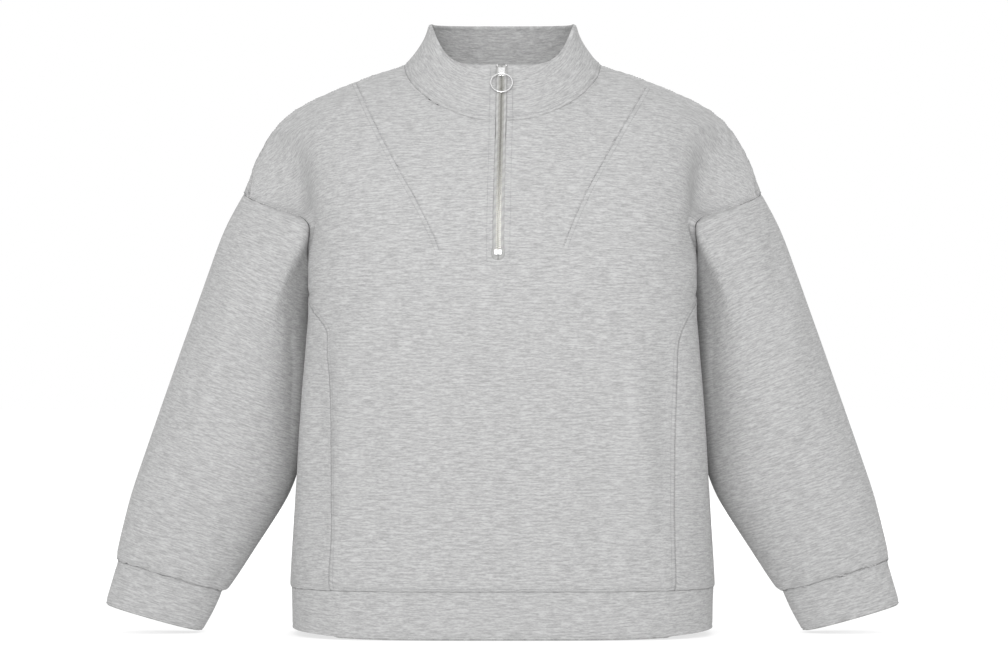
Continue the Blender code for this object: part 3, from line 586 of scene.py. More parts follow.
    def side_point(self, across: float, fall: float) -> Array:
        """A point of the side panel on +X, across 0 at its front seam.

        Args:
            across: 0 to 1, at its back seam.
            fall: 0 at its top to 1 at the hem seam.

        Returns:
            The point.
        """
        torso = self.torso
        lowest = torso.underarm - torso.join
        top = torso.join + lowest * math.sin(math.pi * across)
        seam = torso.join + (torso.hem - torso.join) * fall
        start, end = torso.edge_share(seam, False), 1 - torso.edge_share(seam, True)
        return torso.point(top + (torso.hem - top) * fall, start + (end - start) * across)

    def side(self) -> Array:
        """The grid of the side panel on +X.

        Returns:
            Rows of points, from the top down.
        """
        across = [i / self.side_steps for i in range(self.side_steps + 1)]
        falls = [0.0, *self.lower_falls()]
        return np.array([[self.side_point(a, fall) for a in across] for fall in falls])


@dataclass(frozen=True)
class Bands:
    """The hem band and the collar, both folded double."""

    panels: Panels
    drop: float = 0.054
    side_lift: float = 0.007
    lift_power: int = 6
    band_steps: int = 2
    rim_half_width: float = 0.0855
    rim_front: Pair = (-0.076, -0.003)  # depth and height of its middle
    rim_back: Pair = (0.072, 0.0498)
    rim_side: float = 0.0480
    rim_rounding: float = 5.2
    waist: float = 0.005
    collar_steps: int = 4

    def hem(self) -> Array:
        """The hem band's grid, a ring from the middle of the front round +X.

        Returns:
            Rows of points, from the hem seam down.
        """
        panels, torso = self.panels, self.panels.torso
        front, back = torso.edge_share(torso.hem, False), torso.edge_share(torso.hem, True)
        half = [share * front for share in panels.shares(False)]
        steps = panels.side_steps
        half += [front + (1 - back - front) * i / steps for i in range(1, steps)]
        half += [1 - share * back for share in reversed(panels.shares(True))]
        columns = round_trip(half)
        widest = torso.point(torso.hem, 0.5)[0]
        rows = []
        for i in range(self.band_steps + 1):
            fall = i / self.band_steps
            row = []
            for hand, share in columns:
                x, y, z = torso.point(torso.hem - self.drop * fall, share)
                z += self.side_lift * fall * min(1.0, x / widest) ** self.lift_power
                row.append(panels.on_side(np.array([x, y, z]), hand))
            rows.append(row)
        return np.array(rows)

    def collar_point(self, turn: float, fall: float) -> Array:
        """A point of the collar: fall 0 at its rim and 1 at the neck seam.

        Args:
            turn: how far round, as for the neck seam.
            fall: how far down.

        Returns:
            The point on +X.
        """
        sideways, forward = math.sin(turn * math.pi / 2), math.cos(turn * math.pi / 2)
        depth, low = self.rim_front if forward > 0 else self.rim_back
        power = self.rim_rounding if forward > 0 else 2
        height = low + (self.rim_side - low) * sideways**power
        rim = np.array([self.rim_half_width * sideways, depth * abs(forward), height])
        point = rim + (self.panels.neck_seam(turn) - rim) * fall
        point[0] -= self.waist * 4 * fall * (1 - fall) * sideways**2
        return point

    def collar(self) -> Array:
        """The collar's grid, from the opening round +X to the opening on -X.

        Returns:
            Rows of points, from the rim down.
        """
        front, back = self.panels.neck_steps
        turns = [i / front for i in range(front)] + [1 + i / back for i in range(back + 1)]
        columns = round_trip(turns)
        falls = [i / self.collar_steps for i in range(self.collar_steps + 1)]
        place = self.panels.on_side
        return np.array(
            [[place(self.collar_point(turn, fall), hand) for hand, turn in columns] for fall in falls]
        )


@dataclass(frozen=True)
class Arms:
    """The sleeve and the cuff on +X, as sections from the armhole to the wrist."""

    panels: Panels
    square: float = 2.2
    hold: float = 0.25  # share that keeps some of the armhole's own shape
    sleeve_steps: int = 10
    cuff_steps: int = 2
    sleeve_table: Table = Table(
        ("out_x", "out_z", "in_x", "in_z", "half_depth", "back"),
        (
            (0.3054, -0.1470, 0.2050, -0.2930, 0.0800, 0.000),
            (0.3255, -0.1850, 0.2130, -0.3200, 0.0810, 0.006),
            (0.3475, -0.2504, 0.2200, -0.3600, 0.0800, 0.010),
            (0.3726, -0.3206, 0.2240, -0.4050, 0.0770, 0.012),
            (0.3972, -0.3908, 0.2330, -0.4500, 0.0720, 0.012),
            (0.4218, -0.4610, 0.2500, -0.5000, 0.0640, 0.012),
            (0.4400, -0.5180, 0.2830, -0.5540, 0.0540, 0.012),
            (0.4522, -0.5720, 0.3200, -0.6095, 0.0430, 0.012),
        ),
    )
    cuff_table: Table = Table(
        ("out_x", "out_z", "in_x", "in_z", "half_depth", "back"),
        (
            (0.4492, -0.5765, 0.3285, -0.6125, 0.0380, 0.012),
            (0.4570, -0.6030, 0.3395, -0.6370, 0.0350, 0.012),
            (0.4645, -0.6288, 0.3528, -0.6605, 0.0330, 0.012),
        ),
    )

    def armhole(self) -> Array:
        """The armhole from the shoulder's tip down the back, under and up the front.

        Returns:
            Its points on +X.
        """
        panels, falls, steps = self.panels, self.panels.upper_falls(), self.panels.side_steps
        back = [panels.point(1.0, fall, True) for fall in falls]
        under = [panels.side_point(1 - i / steps, 0.0) for i in range(1, steps)]
        front = [panels.point(1.0, fall, False) for fall in reversed(falls)]
        return np.array(back + under + front[:-1])

    def section(self, table: Table, way: float) -> tuple[Array, Array, Array]:
        """(middle, half of the width, half of the depth) of a tube at a share of its length.

        Args:
            table: of the tube's sections.
            way: share of its length.

        Returns:
            The three.
        """
        values = table.values
        along = distances((values[:, 0:2] + values[:, 2:4]) / 2)
        found = curve_through(along / along[-1], values, way)
        out_x, out_z, in_x, in_z, half_depth, back = found
        middle = np.array([(out_x + in_x) / 2, back, (out_z + in_z) / 2])
        half_width = np.array([(out_x - in_x) / 2, 0.0, (out_z - in_z) / 2])
        return middle, half_width, np.array([0.0, half_depth, 0.0])

    def oval(self, table: Table, way: float, angles: Array) -> Array:
        """The outline of a tube at angles from its outer edge, 90 degrees being its back.

        Args:
            table: of the tube's sections.
            way: share of its length.
            angles: in radians.

        Returns:
            A point for each angle.
        """
        middle, half_width, half_depth = self.section(table, way)
        c, s = np.cos(angles), np.sin(angles)
        power = 2 / self.square
        c, s = np.sign(c) * np.abs(c) ** power, np.sign(s) * np.abs(s) ** power
        return middle + c[:, None] * half_width + s[:, None] * half_depth

    def angles(self, points: Array) -> Array:
        """Where each armhole point lies around the first section.

        Args:
            points: of the armhole.

        Returns:
            Their angles, in radians.
        """
        middle, half_width, half_depth = self.section(self.sleeve_table, 0.0)
        c = (points - middle) @ half_width / (half_width @ half_width)
        s = (points - middle) @ half_depth / (half_depth @ half_depth)
        power = self.square / 2
        found = np.arctan2(np.sign(s) * np.abs(s) ** power, np.sign(c) * np.abs(c) ** power)
        return np.unwrap(found)

    def sleeve(self) -> Array:
        """The sleeve's grid, a tube from the armhole to the cuff seam.

        Returns:
            Rows of points, from the armhole down.
        """
        start = self.armhole()
        angles = self.angles(start)
        even = angles[0] + 2 * math.pi * np.arange(len(start)) / len(start)
        own_shape = start - self.oval(self.sleeve_table, 0.0, angles)
        rows = []
        for i in range(self.sleeve_steps + 1):
            way = i / self.sleeve_steps
            share = smooth(way * 2)
            ring = self.oval(self.sleeve_table, way, angles * (1 - share) + even * share)
            rows.append(ring + own_shape * (1 - smooth(way / self.hold)))
        return np.array([*rows, self.oval(self.cuff_table, 0.0, even)])

    def cuff(self) -> Array:
        """The cuff's grid.

        Returns:
            Rows of points, from the cuff seam down.
        """
        start = self.armhole()
        even = self.angles(start)[0] + 2 * math.pi * np.arange(len(start)) / len(start)
        steps = self.cuff_steps
        return np.array([self.oval(self.cuff_table, i / steps, even) for i in range(steps + 1)])


# ---- finishes
def linear(code: str) -> tuple[float, float, float, float]:
    """An sRGB hex colour as Blender's linear colour.

    Args:
        code: six hex digits.

    Returns:
        Red, green, blue and alpha.
    """
    parts = [int(code[i : i + 2], 16) / 255 for i in (0, 2, 4)]
    red, green, blue = (p / 12.92 if p <= 0.04045 else ((p + 0.055) / 1.055) ** 2.4 for p in parts)
    return red, green, blue, 1.0


def add_node(
    tree: bpy.types.NodeTree,
    kind: str,
    links: dict[str | int, bpy.types.NodeSocket] | None = None,
    values: dict[str | int, object] | None = None,
    **settings: object,
) -> bpy.types.Node:
    """Adds a node with its settings, its fixed inputs and the links into it.

    Args:
        tree: where it goes.
        kind: Blender's name for the kind of node.
        links: output sockets by the name or number of the input that each feeds.
        values: fixed values by the name or number of their input.
        settings: the node's own properties.

    Returns:
        The node.
    """
    node = tree.nodes.new(kind)
    for name, value in settings.items():
        setattr(node, name, value)
    for name, value in (values or {}).items():
        node.inputs[name].default_value = value
    for name, socket in (links or {}).items():
        tree.links.new(socket, node.inputs[name])
    return node


def wave_scale(pitch: float, axes: int) -> float:
    """Scale of a wave texture whose slanting bands are pitch mm apart, in 2 or 3 axes."""
    return 2 * math.pi / (SLANT * math.sqrt(axes) * pitch * MM)


def new_material(
    name: str, values: dict[str, object]
) -> tuple[bpy.types.Material, bpy.types.NodeTree, bpy.types.Node]:
    """A material with only its Principled shader and output.

    Args:
        name: of the material.
        values: the shader's fixed inputs.

    Returns:
        The material, its tree and its shader.
    """
    made = bpy.data.materials.new(name)
    made.use_nodes = True
    shader = made.node_tree.nodes["Principled BSDF"]
    for key, value in values.items():
        shader.inputs[key].default_value = value
    return made, made.node_tree, shader


def colour_by(
    pattern: bpy.types.NodeSocket,
    tree: bpy.types.NodeTree,
    shader: bpy.types.Node,
    stops: Iterable[tuple[float, str]],
) -> None:
    """Colours a material by a pattern.

    Args:
        pattern: the socket that gives it, from 0 to 1.
        tree: the material's nodes.
        shader: its shader.
        stops: places on the pattern and their hex colours.
    """
    ramp = add_node(tree, "ShaderNodeValToRGB", {0: pattern})
    elements = ramp.color_ramp.elements
    for number, (place, code) in enumerate(stops):
        element = elements[number] if number < len(elements) else elements.new(place)
        element.position, element.color = place, linear(code)
    tree.links.new(ramp.outputs[0], shader.inputs["Base Color"])


@dataclass(frozen=True)
class Heather:
    """Brushed cotton fleece, its face a jersey knitted from marled grey and white yarn.

    The marl shows as short streaks along the courses, and the face is matt with a faint nap.
    """

    name: str = "heather_fleece_jersey"
    dark: str = "8d8d8d"
    middle: str = "9d9d9d"
    light: str = "aeaeae"
    streaks: tuple[Triple, ...] = (
        (15.0, 1.9, 0.50),  # length and thickness in mm, and strength
        (4.2, 1.1, 0.36),
        (50.0, 9.0, 0.08),
    )
    nap: float = 0.9  # mm, size of the fuzz on the face
    nap_height: float = 0.10  # mm
    rib_height: float = 0.16  # mm, how far a streak of thicker yarn stands up
    roughness: float = 0.92
    specular: float = 0.2
    sheen: float = 0.12
    sheen_roughness: float = 0.6
    stops: Triple = (0.36, 0.5, 0.63)  # of the three shades on the streaks
    nap_strength: float = 0.8

    def build(self) -> bpy.types.Material:
        """The material, on the cloth's own map, so that the streaks follow each piece's grain.

        Returns:
            The material.
        """
        made, tree, shader = new_material(
            self.name,
            {
                "Roughness": self.roughness,
                "Specular IOR Level": self.specular,
                "Sheen Weight": self.sheen,
                "Sheen Roughness": self.sheen_roughness,
            },
        )
        grain = add_node(tree, "ShaderNodeUVMap", uv_map=GRAIN).outputs[0]
        total = None
        for length, thickness, strength in self.streaks:
            scale = (1 / (length * MM), 1 / (thickness * MM), 1.0)
            place = add_node(tree, "ShaderNodeMapping", {0: grain}, {"Scale": scale}).outputs[0]
            noise = add_node(
                tree,
                "ShaderNodeTexNoise",
                {"Vector": place},
                {"Scale": 1.0, "Detail": 3.0, "Roughness": 0.55, "Distortion": 0.25},
                noise_dimensions="2D",
            ).outputs[0]
            even = add_node(tree, "ShaderNodeMath", {0: noise}, {1: -0.5}, operation="ADD").outputs[0]
            links = {0: even, 2: total} if total else {0: even}
            values = {1: strength} if total else {1: strength, 2: 0.5}
            total = add_node(tree, "ShaderNodeMath", links, values, operation="MULTIPLY_ADD").outputs[0]
        colour_by(total, tree, shader, zip(self.stops, (self.dark, self.middle, self.light)))
        fuzz_scale = 1 / (self.nap * MM)
        fuzz_place = add_node(
            tree, "ShaderNodeMapping", {0: grain}, {"Scale": (fuzz_scale, fuzz_scale, 1.0)}
        ).outputs[0]
        fuzz = add_node(
            tree,
            "ShaderNodeTexNoise",
            {"Vector": fuzz_place},
            {"Scale": 1.0, "Detail": 2.0},
            noise_dimensions="2D",
        ).outputs[0]
        ribs = add_node(
            tree, "ShaderNodeBump", {"Height": total}, {"Strength": 1.0, "Distance": self.rib_height * MM}
        ).outputs[0]
        nap = add_node(
            tree,
            "ShaderNodeBump",
            {"Height": fuzz, "Normal": ribs},
            {"Strength": self.nap_strength, "Distance": self.nap_height * MM},
        ).outputs[0]
        tree.links.new(nap, shader.inputs["Normal"])
        return made


@dataclass(frozen=True)
class Polyester:
    """Spun or woven polyester, whose slanting bands turn from one shade to another."""

    name: str
    low: str
    high: str
    band: float  # mm from one band to the next
    distortion: float
    detail: float
    roughness: float
    height: float = 0.0  # mm, of the bands
    on_map: bool = False  # whether they follow the piece's own map

    def build(self) -> bpy.types.Material:
        """The material.

        Returns:
            The material.
        """
        made, tree, shader = new_material(self.name, {"Roughness": self.roughness})
        if self.on_map:
            place, axes = add_node(tree, "ShaderNodeUVMap", uv_map=GRAIN).outputs[0], 2
        else:
            place, axes = add_node(tree, "ShaderNodeTexCoord").outputs["Object"], 3
        scale = wave_scale(self.band, axes)
        bands = add_node(
            tree,
            "ShaderNodeTexWave",
            {"Vector": place},
            {"Scale": scale, "Distortion": self.distortion, "Detail": self.detail},
            bands_direction="DIAGONAL",
        ).outputs[1]
        colour_by(bands, tree, shader, ((0.0, self.low), (1.0, self.high)))
        if self.height:
            raised = {"Distance": self.height * MM}
            bump = add_node(tree, "ShaderNodeBump", {"Height": bands}, raised).outputs[0]
            tree.links.new(bump, shader.inputs["Normal"])
        return made


# Sewing thread: smooth, a little glossy and a shade off the cloth. The bands are its twist.
THREAD = Polyester(
    "spun_polyester_thread", "858586", "969697", 0.403, distortion=1.0, detail=2.0, roughness=0.6
)
# Zip tape: a flat, slightly glossy herringbone in mid grey. Its ribs are too fine to show, so
# broad bands carry their change of shade.
TAPE = Polyester(
    "woven_zip_tape",
    "979796",
    "a4a4a3",
    8.0,
    distortion=0.6,
    detail=1.0,
    roughness=0.72,
    height=0.12,
    on_map=True,
)


@dataclass(frozen=True)
class Nickel:
    """Nickel plating over die-cast zinc: bright and smooth, with faint polishing marks."""

    name: str
    colour: str
    dark: str
    roughness: float
    grit: float = 0.8  # mm, size of the polishing marks
    stops: Pair = (0.35, 0.65)  # of the two colours on the marks
    gloss_range: Pair = (0.75, 1.3)  # least and most roughness, as shares of it

    def build(self) -> bpy.types.Material:
        """The material, whose polishing marks change its colour and gloss a little.

        Returns:
            The material.
        """
        made, tree, shader = new_material(self.name, {"Metallic": 1.0})
        place = add_node(tree, "ShaderNodeTexCoord").outputs["Object"]
        marks = add_node(
            tree, "ShaderNodeTexNoise", {"Vector": place}, {"Scale": 1 / (self.grit * MM), "Detail": 2.0}
        ).outputs[0]
        colour_by(marks, tree, shader, zip(self.stops, (self.dark, self.colour)))
        low, high = (self.roughness * share for share in self.gloss_range)
        rough = add_node(
            tree, "ShaderNodeMapRange", {"Value": marks}, {"To Min": low, "To Max": high}
        ).outputs[0]
        tree.links.new(rough, shader.inputs["Roughness"])
        return made


# ---- the sewn sheet
@dataclass(frozen=True)
class Grid:
    """A piece of cloth as a coarse grid of points on the garment's surface."""

    node: str
    points: Array
    group: Group
    folded: bool = False
    tube: bool = False
    slit: int = 0  # rows whose middle face is cut open
    level: bool = False  # whether the knit's courses lie level on the body

    def lengths(self) -> tuple[Array, Array]:
        """How far each point lies across and along the grain, from the last row's middle.

        Returns:
            Both distances for each point.
        """
        points = self.points
        if self.tube:
            points = np.concatenate([points, points[:, :1]], axis=1)
        across = np.linalg.norm(np.diff(points, axis=1), axis=2)
        across = np.concatenate([np.zeros((len(points), 1)), np.cumsum(across, axis=1)], axis=1)
        if not self.tube:
            across = across - across[:, across.shape[1] // 2, None]
        along = np.linalg.norm(np.diff(points, axis=0), axis=2)[::-1]
        along = np.concatenate([np.zeros((1, points.shape[1])), np.cumsum(along, axis=0)])[::-1]
        return across, along

    def cut(self) -> Pair:
        """(width, length) of the rectangle that the piece's cut fits in."""
        across, along = self.lengths()
        return float(np.ptp(across, axis=1).max()), float(along.max())


@dataclass(frozen=True)
class Courses:
    """How the knit's courses lie on the body: level below the yoke, drooping over the shoulders."""

    yoke: float = -0.26  # height above which they droop
    yoke_run: float = 0.10  # and over which the droop sets in
    depth: float = 0.13  # on the shoulders they lie higher nearer than this to the middle
    depth_slope: float = 0.25
    shoulder: float = 0.222  # and farther out than this
    shoulder_slope: float = 0.75

    def height(self, point: Array) -> float:
        """How high a point of the body lies on the knit.

        Args:
            point: of the body.

        Returns:
            Its height in the knit.
        """
        x, y, z = point
        inward = self.depth_slope * (self.depth - abs(y))
        outward = self.shoulder_slope * max(abs(x) - self.shoulder, 0.0)
        return z + smooth((z - self.yoke) / self.yoke_run) * (inward + outward)


@dataclass(frozen=True)
class Fold:
    """A soft ridge between two places of the front view, or a trough where height is below 0."""

    group: Group
    face: Face
    start: Pair
    end: Pair
    half_width: float
    height: float
    bow: float = 0.0  # how far its middle bends aside
    end_power: float = 0.8  # below 1 for blunt ends
    facing_gain: float = 1.6  # how soon it is whole where the cloth turns to its face

    def lift(self, points: Array, normals: Array) -> Array:
        """How far the fold lifts each point.

        Args:
            points: of the cloth.
            normals: there.

        Returns:
            One height for each point.
        """
        start, run = np.array(self.start), np.subtract(self.end, self.start)
        length = np.linalg.norm(run)
        aside = np.array([-run[1], run[0]]) / length
        flat = points[:, [0, 2]] - start
        way = flat @ run / length**2
        off = flat @ aside - self.bow * 4 * way * (1 - way)
        beyond = np.maximum(np.abs(way - 0.5) - 0.5, 0) * length
        ends = np.sin(math.pi * np.clip(way, 0.0, 1.0)) ** self.end_power
        across = np.exp(-(off / self.half_width) ** 2) * (beyond == 0)
        facing = np.clip(normals[:, 1] * self.face.value * self.facing_gain, 0, 1)
        return self.height * across * ends * facing


class Sheet:
    """All the cloth sewn into one fine sheet, each face marked with its piece."""

    levels = 3
    corrections = 5  # rounds that bring the smooth sheet onto the grids' points
    correction = 0.8
    touching = 2e-5
    shortest = 3  # points of a seam that is too short to count
    creases = {"collar": 0.75, "cuff": 0.85, "hem": 0.85, "armhole": 0.45}
    courses = Courses()
    shift = 0.41  # of each piece's grain from the last piece's, to mix the streaks
    pucker_reach = 0.010  # how far from a seam the puckers die out
    pucker_height = 0.00030
    pucker_waves = (520.0, 390.0, 470.0)  # radians a metre along X, Y and Z
    pucker_drift = (1.3, 97.0)  # how far the waves along X drift, and radians a metre along Z

    def __init__(self, grids: Sequence[Grid], folds: Sequence[Fold]) -> None:
        """Sews, smooths and folds the grids.

        Args:
            grids: the pieces, in the order of their marks.
            folds: the ridges and troughs.
        """
        self.grids = list(grids)
        self.mesh = self.smoothed(self.sewn())
        self.fold(folds)
        self.work = bmesh.new()
        self.work.from_mesh(self.mesh)
        self.pucker()
        self.tree = BVHTree.FromBMesh(self.work)
        self.seam_tree = self.seam_points()

    def seam_points(self) -> kdtree.KDTree:
        """Where the seams are now, for finding the nearest.

        Returns:
            The points at which pieces meet.
        """
        seams = [v for v in self.work.verts if len({f.material_index for f in v.link_faces}) > 1]
        tree = kdtree.KDTree(len(seams))
        for number, vertex in enumerate(seams):
            tree.insert(vertex.co, number)
        tree.balance()
        return tree

    def number(self, node: str) -> int:
        """The mark of a piece."""
        return next(i for i, grid in enumerate(self.grids) if grid.node == node)

    def add(self, work: bmesh.types.BMesh, number: int) -> None:
        """Adds one piece's grid.

        Args:
            work: the mesh being sewn.
            number: the piece's mark.
        """
        grid = self.grids[number]
        rows, columns = grid.points.shape[:2]
        steps = columns if grid.tube else columns - 1
        made = bmesh.ops.create_grid(work, x_segments=steps, y_segments=rows - 1, size=0.5)
        grain = work.loops.layers.uv[GRAIN]
        across, along = grid.lengths()
        place = {
            v: (round((0.5 - v.co.y) * (rows - 1)), round((v.co.x + 0.5) * steps))
            for v in made["verts"]
        }
        slit, shift = [], number * self.shift
        for face in dict.fromkeys(face for vertex in place for face in vertex.link_faces):
            face.material_index = number
            corners = [place[vertex] for vertex in face.verts]
            left = min(column for _, column in corners)
            turned = grid.tube and left >= steps // 2
            for loop in face.loops:
                row, column = place[loop.vert]
                u, v = across[row, column] - turned * across[row, -1], along[row, column]
                if grid.level:
                    v = self.courses.height(grid.points[row, column])
                loop[grain].uv = (u + shift, v + shift)
            if min(row for row, _ in corners) < grid.slit and left == columns // 2 - 1:
                slit.append(face)
        for vertex, (row, column) in place.items():
            vertex.co = grid.points[row, column % columns]
        bmesh.ops.delete(work, geom=slit, context="FACES")

    def sewn(self) -> bmesh.types.BMesh:
        """The coarse grids, joined where they touch, with firmer bends at the seams.

        Returns:
            The coarse mesh.
        """
        work = bmesh.new()
        work.loops.layers.uv.new(GRAIN)
        for number in range(len(self.grids)):
            self.add(work, number)
        bmesh.ops.remove_doubles(work, verts=work.verts[:], dist=self.touching)
        crease = work.edges.layers.float.new("crease_edge")
        for edge in work.edges:
            nodes = {self.grids[face.material_index].node for face in edge.link_faces}
            groups = {self.grids[face.material_index].group for face in edge.link_faces}
            if len(nodes) < 2:
                continue
            for part, firmness in self.creases.items():
                if any(node.startswith(part) for node in nodes):
                    edge[crease] = firmness
            if len(groups) > 1:
                edge[crease] = self.creases["armhole"]
        return work

    def smoothed(self, work: bmesh.types.BMesh) -> bpy.types.Mesh:
        """A smooth fine mesh that passes through the points of a coarse one.

        Args:
            work: the coarse mesh, which is used up.

        Returns:
            The fine mesh.
        """
        coarse = bpy.data.meshes.new("coarse_sheet")
        for _ in self.grids:
            coarse.materials.append(None)
        work.to_mesh(coarse)
        work.free()
        holder = add_object("coarse_sheet", coarse)
        subdivision = holder.modifiers.new("smooth", "SUBSURF")
        subdivision.levels = subdivision.render_levels = 1
        subdivision.boundary_smooth = "PRESERVE_CORNERS"
        aim = read(coarse.vertices, "co", 3)
        control = aim.copy()
        for _ in range(self.corrections):
            graph = bpy.context.evaluated_depsgraph_get()
            once = holder.evaluated_get(graph).to_mesh()
            reached = read(once.vertices, "co", 3)[: len(aim)]
            control += (aim - reached) * self.correction
            coarse.vertices.foreach_set("co", control)
            coarse.update()
        subdivision.levels = subdivision.render_levels = self.levels
        graph = bpy.context.evaluated_depsgraph_get()
        fine = bpy.data.meshes.new_from_object(holder.evaluated_get(graph))
        bpy.data.objects.remove(holder, do_unlink=True)
        return fine

    def fold(self, folds: Iterable[Fold]) -> None:
        """Lifts the fine mesh by the folds.

        Args:
            folds: the ridges and troughs.
        """
        mesh = self.mesh
        points = read(mesh.vertices, "co", 3).reshape(-1, 3)
        normals = read(mesh.vertices, "normal", 3).reshape(-1, 3)
        corners = read(mesh.loops, "vertex_index", kind=int)
        marks = read(mesh.polygons, "material_index", kind=int)
        owner = np.repeat(marks, read(mesh.polygons, "loop_total", kind=int))
        touched = {group: np.zeros(len(points), bool) for group in Group}
        for number, grid in enumerate(self.grids):
            touched[grid.group][corners[owner == number]] = True
        both = touched[Group.TORSO] & touched[Group.ARM]
        lift = np.zeros(len(points))
        for fold in folds:
            lift += fold.lift(points, normals) * touched[fold.group] * np.where(both, 0.5, 1.0)
        mesh.vertices.foreach_set("co", (points + normals * lift[:, None]).ravel())
        mesh.update()

    def pucker(self) -> None:
        """Lets the cloth wave gently beside its seams, where the stitches draw it in."""
        tree, reach = self.seam_points(), self.pucker_reach
        wide, deep, high = self.pucker_waves
        drift, turn = self.pucker_drift
        waves = []
        for vertex in self.work.verts:
            x, y, z = vertex.co
            wave = math.sin(x * wide + drift * math.sin(z * turn)) + math.sin(z * high + y * deep)
            away = tree.find(vertex.co)[2]
            if away < reach * 2:
                waves.append((vertex, self.pucker_height * wave * math.exp(-((away / reach) ** 2))))
        for vertex, lift in waves:
            vertex.co += vertex.normal * lift
        self.work.normal_update()

    def piece(self, node: str) -> bmesh.types.BMesh:
        """One piece, cut out of the sheet.

        Args:
            node: its name.

        Returns:
            Its faces alone.
        """
        number = self.number(node)
        part = self.work.copy()
        others = [face for face in part.faces if face.material_index != number]
        bmesh.ops.delete(part, geom=others, context="FACES")
        for face in part.faces:
            face.material_index = 0
            face.smooth = True
        return part

    def seam(self, first: str, second: str) -> list[tuple[Array, Array]]:
        """The seam lines between two pieces.

        Args:
            first: name of the piece towards which the seam's sides point.
            second: name of the other piece.

        Returns:
            For each line its points and, at each, the way into the first piece.
        """
        marks = self.number(first), self.number(second)
        ways: dict[bmesh.types.BMVert, Vector] = {}
        links: dict[bmesh.types.BMVert, list[bmesh.types.BMVert]] = {}
        for edge in self.work.edges:
            if len(edge.link_faces) != 2:
                continue
            if sorted(f.material_index for f in edge.link_faces) != sorted(marks):
                continue
            inner = next(f for f in edge.link_faces if f.material_index == marks[0])
            a, b = edge.verts
            run = (b.co - a.co).normalized()
            way = inner.calc_center_median() - (a.co + b.co) / 2
            way = (way - run * way.dot(run)).normalized()
            for vertex, other in ((a, b), (b, a)):
                ways[vertex] = ways.get(vertex, Vector()) + way
                links.setdefault(vertex, []).append(other)
        lines, used = [], set()
        ends = [v for v, near in links.items() if len(near) == 1]
        for start in ends + list(links):
            line, here = [], start
            while here not in used:
                used.add(here)
                line.append(here)
                here = next((v for v in links[here] if v not in used), start)
            if len(line) > self.shortest:
                points = np.array([vertex.co[:] for vertex in line])
                lines.append((points, np.array([ways[v].normalized()[:] for v in line])))
        return lines


# ---- pieces of cloth
def link(name: str, mesh: bpy.types.Mesh, finish: bpy.types.Material, body: str) -> bpy.types.Object:
    """A finished piece that rides on a body.

    Args:
        name: of the piece.
        mesh: its shape, in place.
        finish: its material.
        body: the body it moves with.

    Returns:
        The object.
    """
    mesh.materials.clear()
    mesh.materials.append(finish)
    made = add_object(name, mesh)
    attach(made, body)
    LOG.info("%s rides on %s", name, body)
    return made


def to_mesh(name: str, work: bmesh.types.BMesh) -> bpy.types.Mesh:
    """A mesh from a bmesh, which is freed.

    Args:
        name: of the mesh.
        work: its shape.

    Returns:
        The mesh.
    """
    mesh = bpy.data.meshes.new(name)
    work.to_mesh(mesh)
    work.free()
    return mesh


@dataclass(frozen=True)
class Groove:
    """A seam inside a panel: a straight run of it in the front view, sunk into the cloth."""

    start: Pair
    end: Pair
    half_width: float = 0.0017
    depth: float = 0.0008
    past: float = 0.004  # how far the cuts run past its ends
    reach: float = 0.008  # faces are cut where their middle is nearer than this
    exact: float = 2e-5  # a point this near the groove's middle is on it
    slack: float = 0.001  # as is one this share of its length past its ends

    def press(self, work: bmesh.types.BMesh) -> None:
        """Cuts the panel along the groove and sinks the middle of it.

        Args:
            work: the panel.
        """
        start = Vector((self.start[0], 0, self.start[1]))
        run = Vector((self.end[0] - self.start[0], 0, self.end[1] - self.start[1]))
        length = run.length
        run.normalize()
        aside = Vector((-run.z, 0, run.x))
        for offset in (-self.half_width, 0.0, self.half_width):
            near = []
            for face in work.faces:
                flat = face.calc_center_median() - start
                way, off = flat.dot(run), flat.dot(aside)
                if -self.past < way < length + self.past and abs(off) < self.reach:
                    near.append(face)
            edges, verts = (e for f in near for e in f.edges), (v for f in near for v in f.verts)
            bmesh.ops.bisect_plane(
                work,
                geom=list(dict.fromkeys([*near, *edges, *verts])),
                dist=WELD,
                plane_co=start + aside * offset,
                plane_no=aside,
            )
        work.normal_update()
        sunk = []
        for vertex in work.verts:
            flat = vertex.co - start
            way, off = flat.dot(run) / length, flat.dot(aside)
            if abs(off) < self.exact and -self.slack <= way <= 1 + self.slack:
                sunk.append(vertex)
        for vertex in sunk:
            vertex.co -= vertex.normal * self.depth


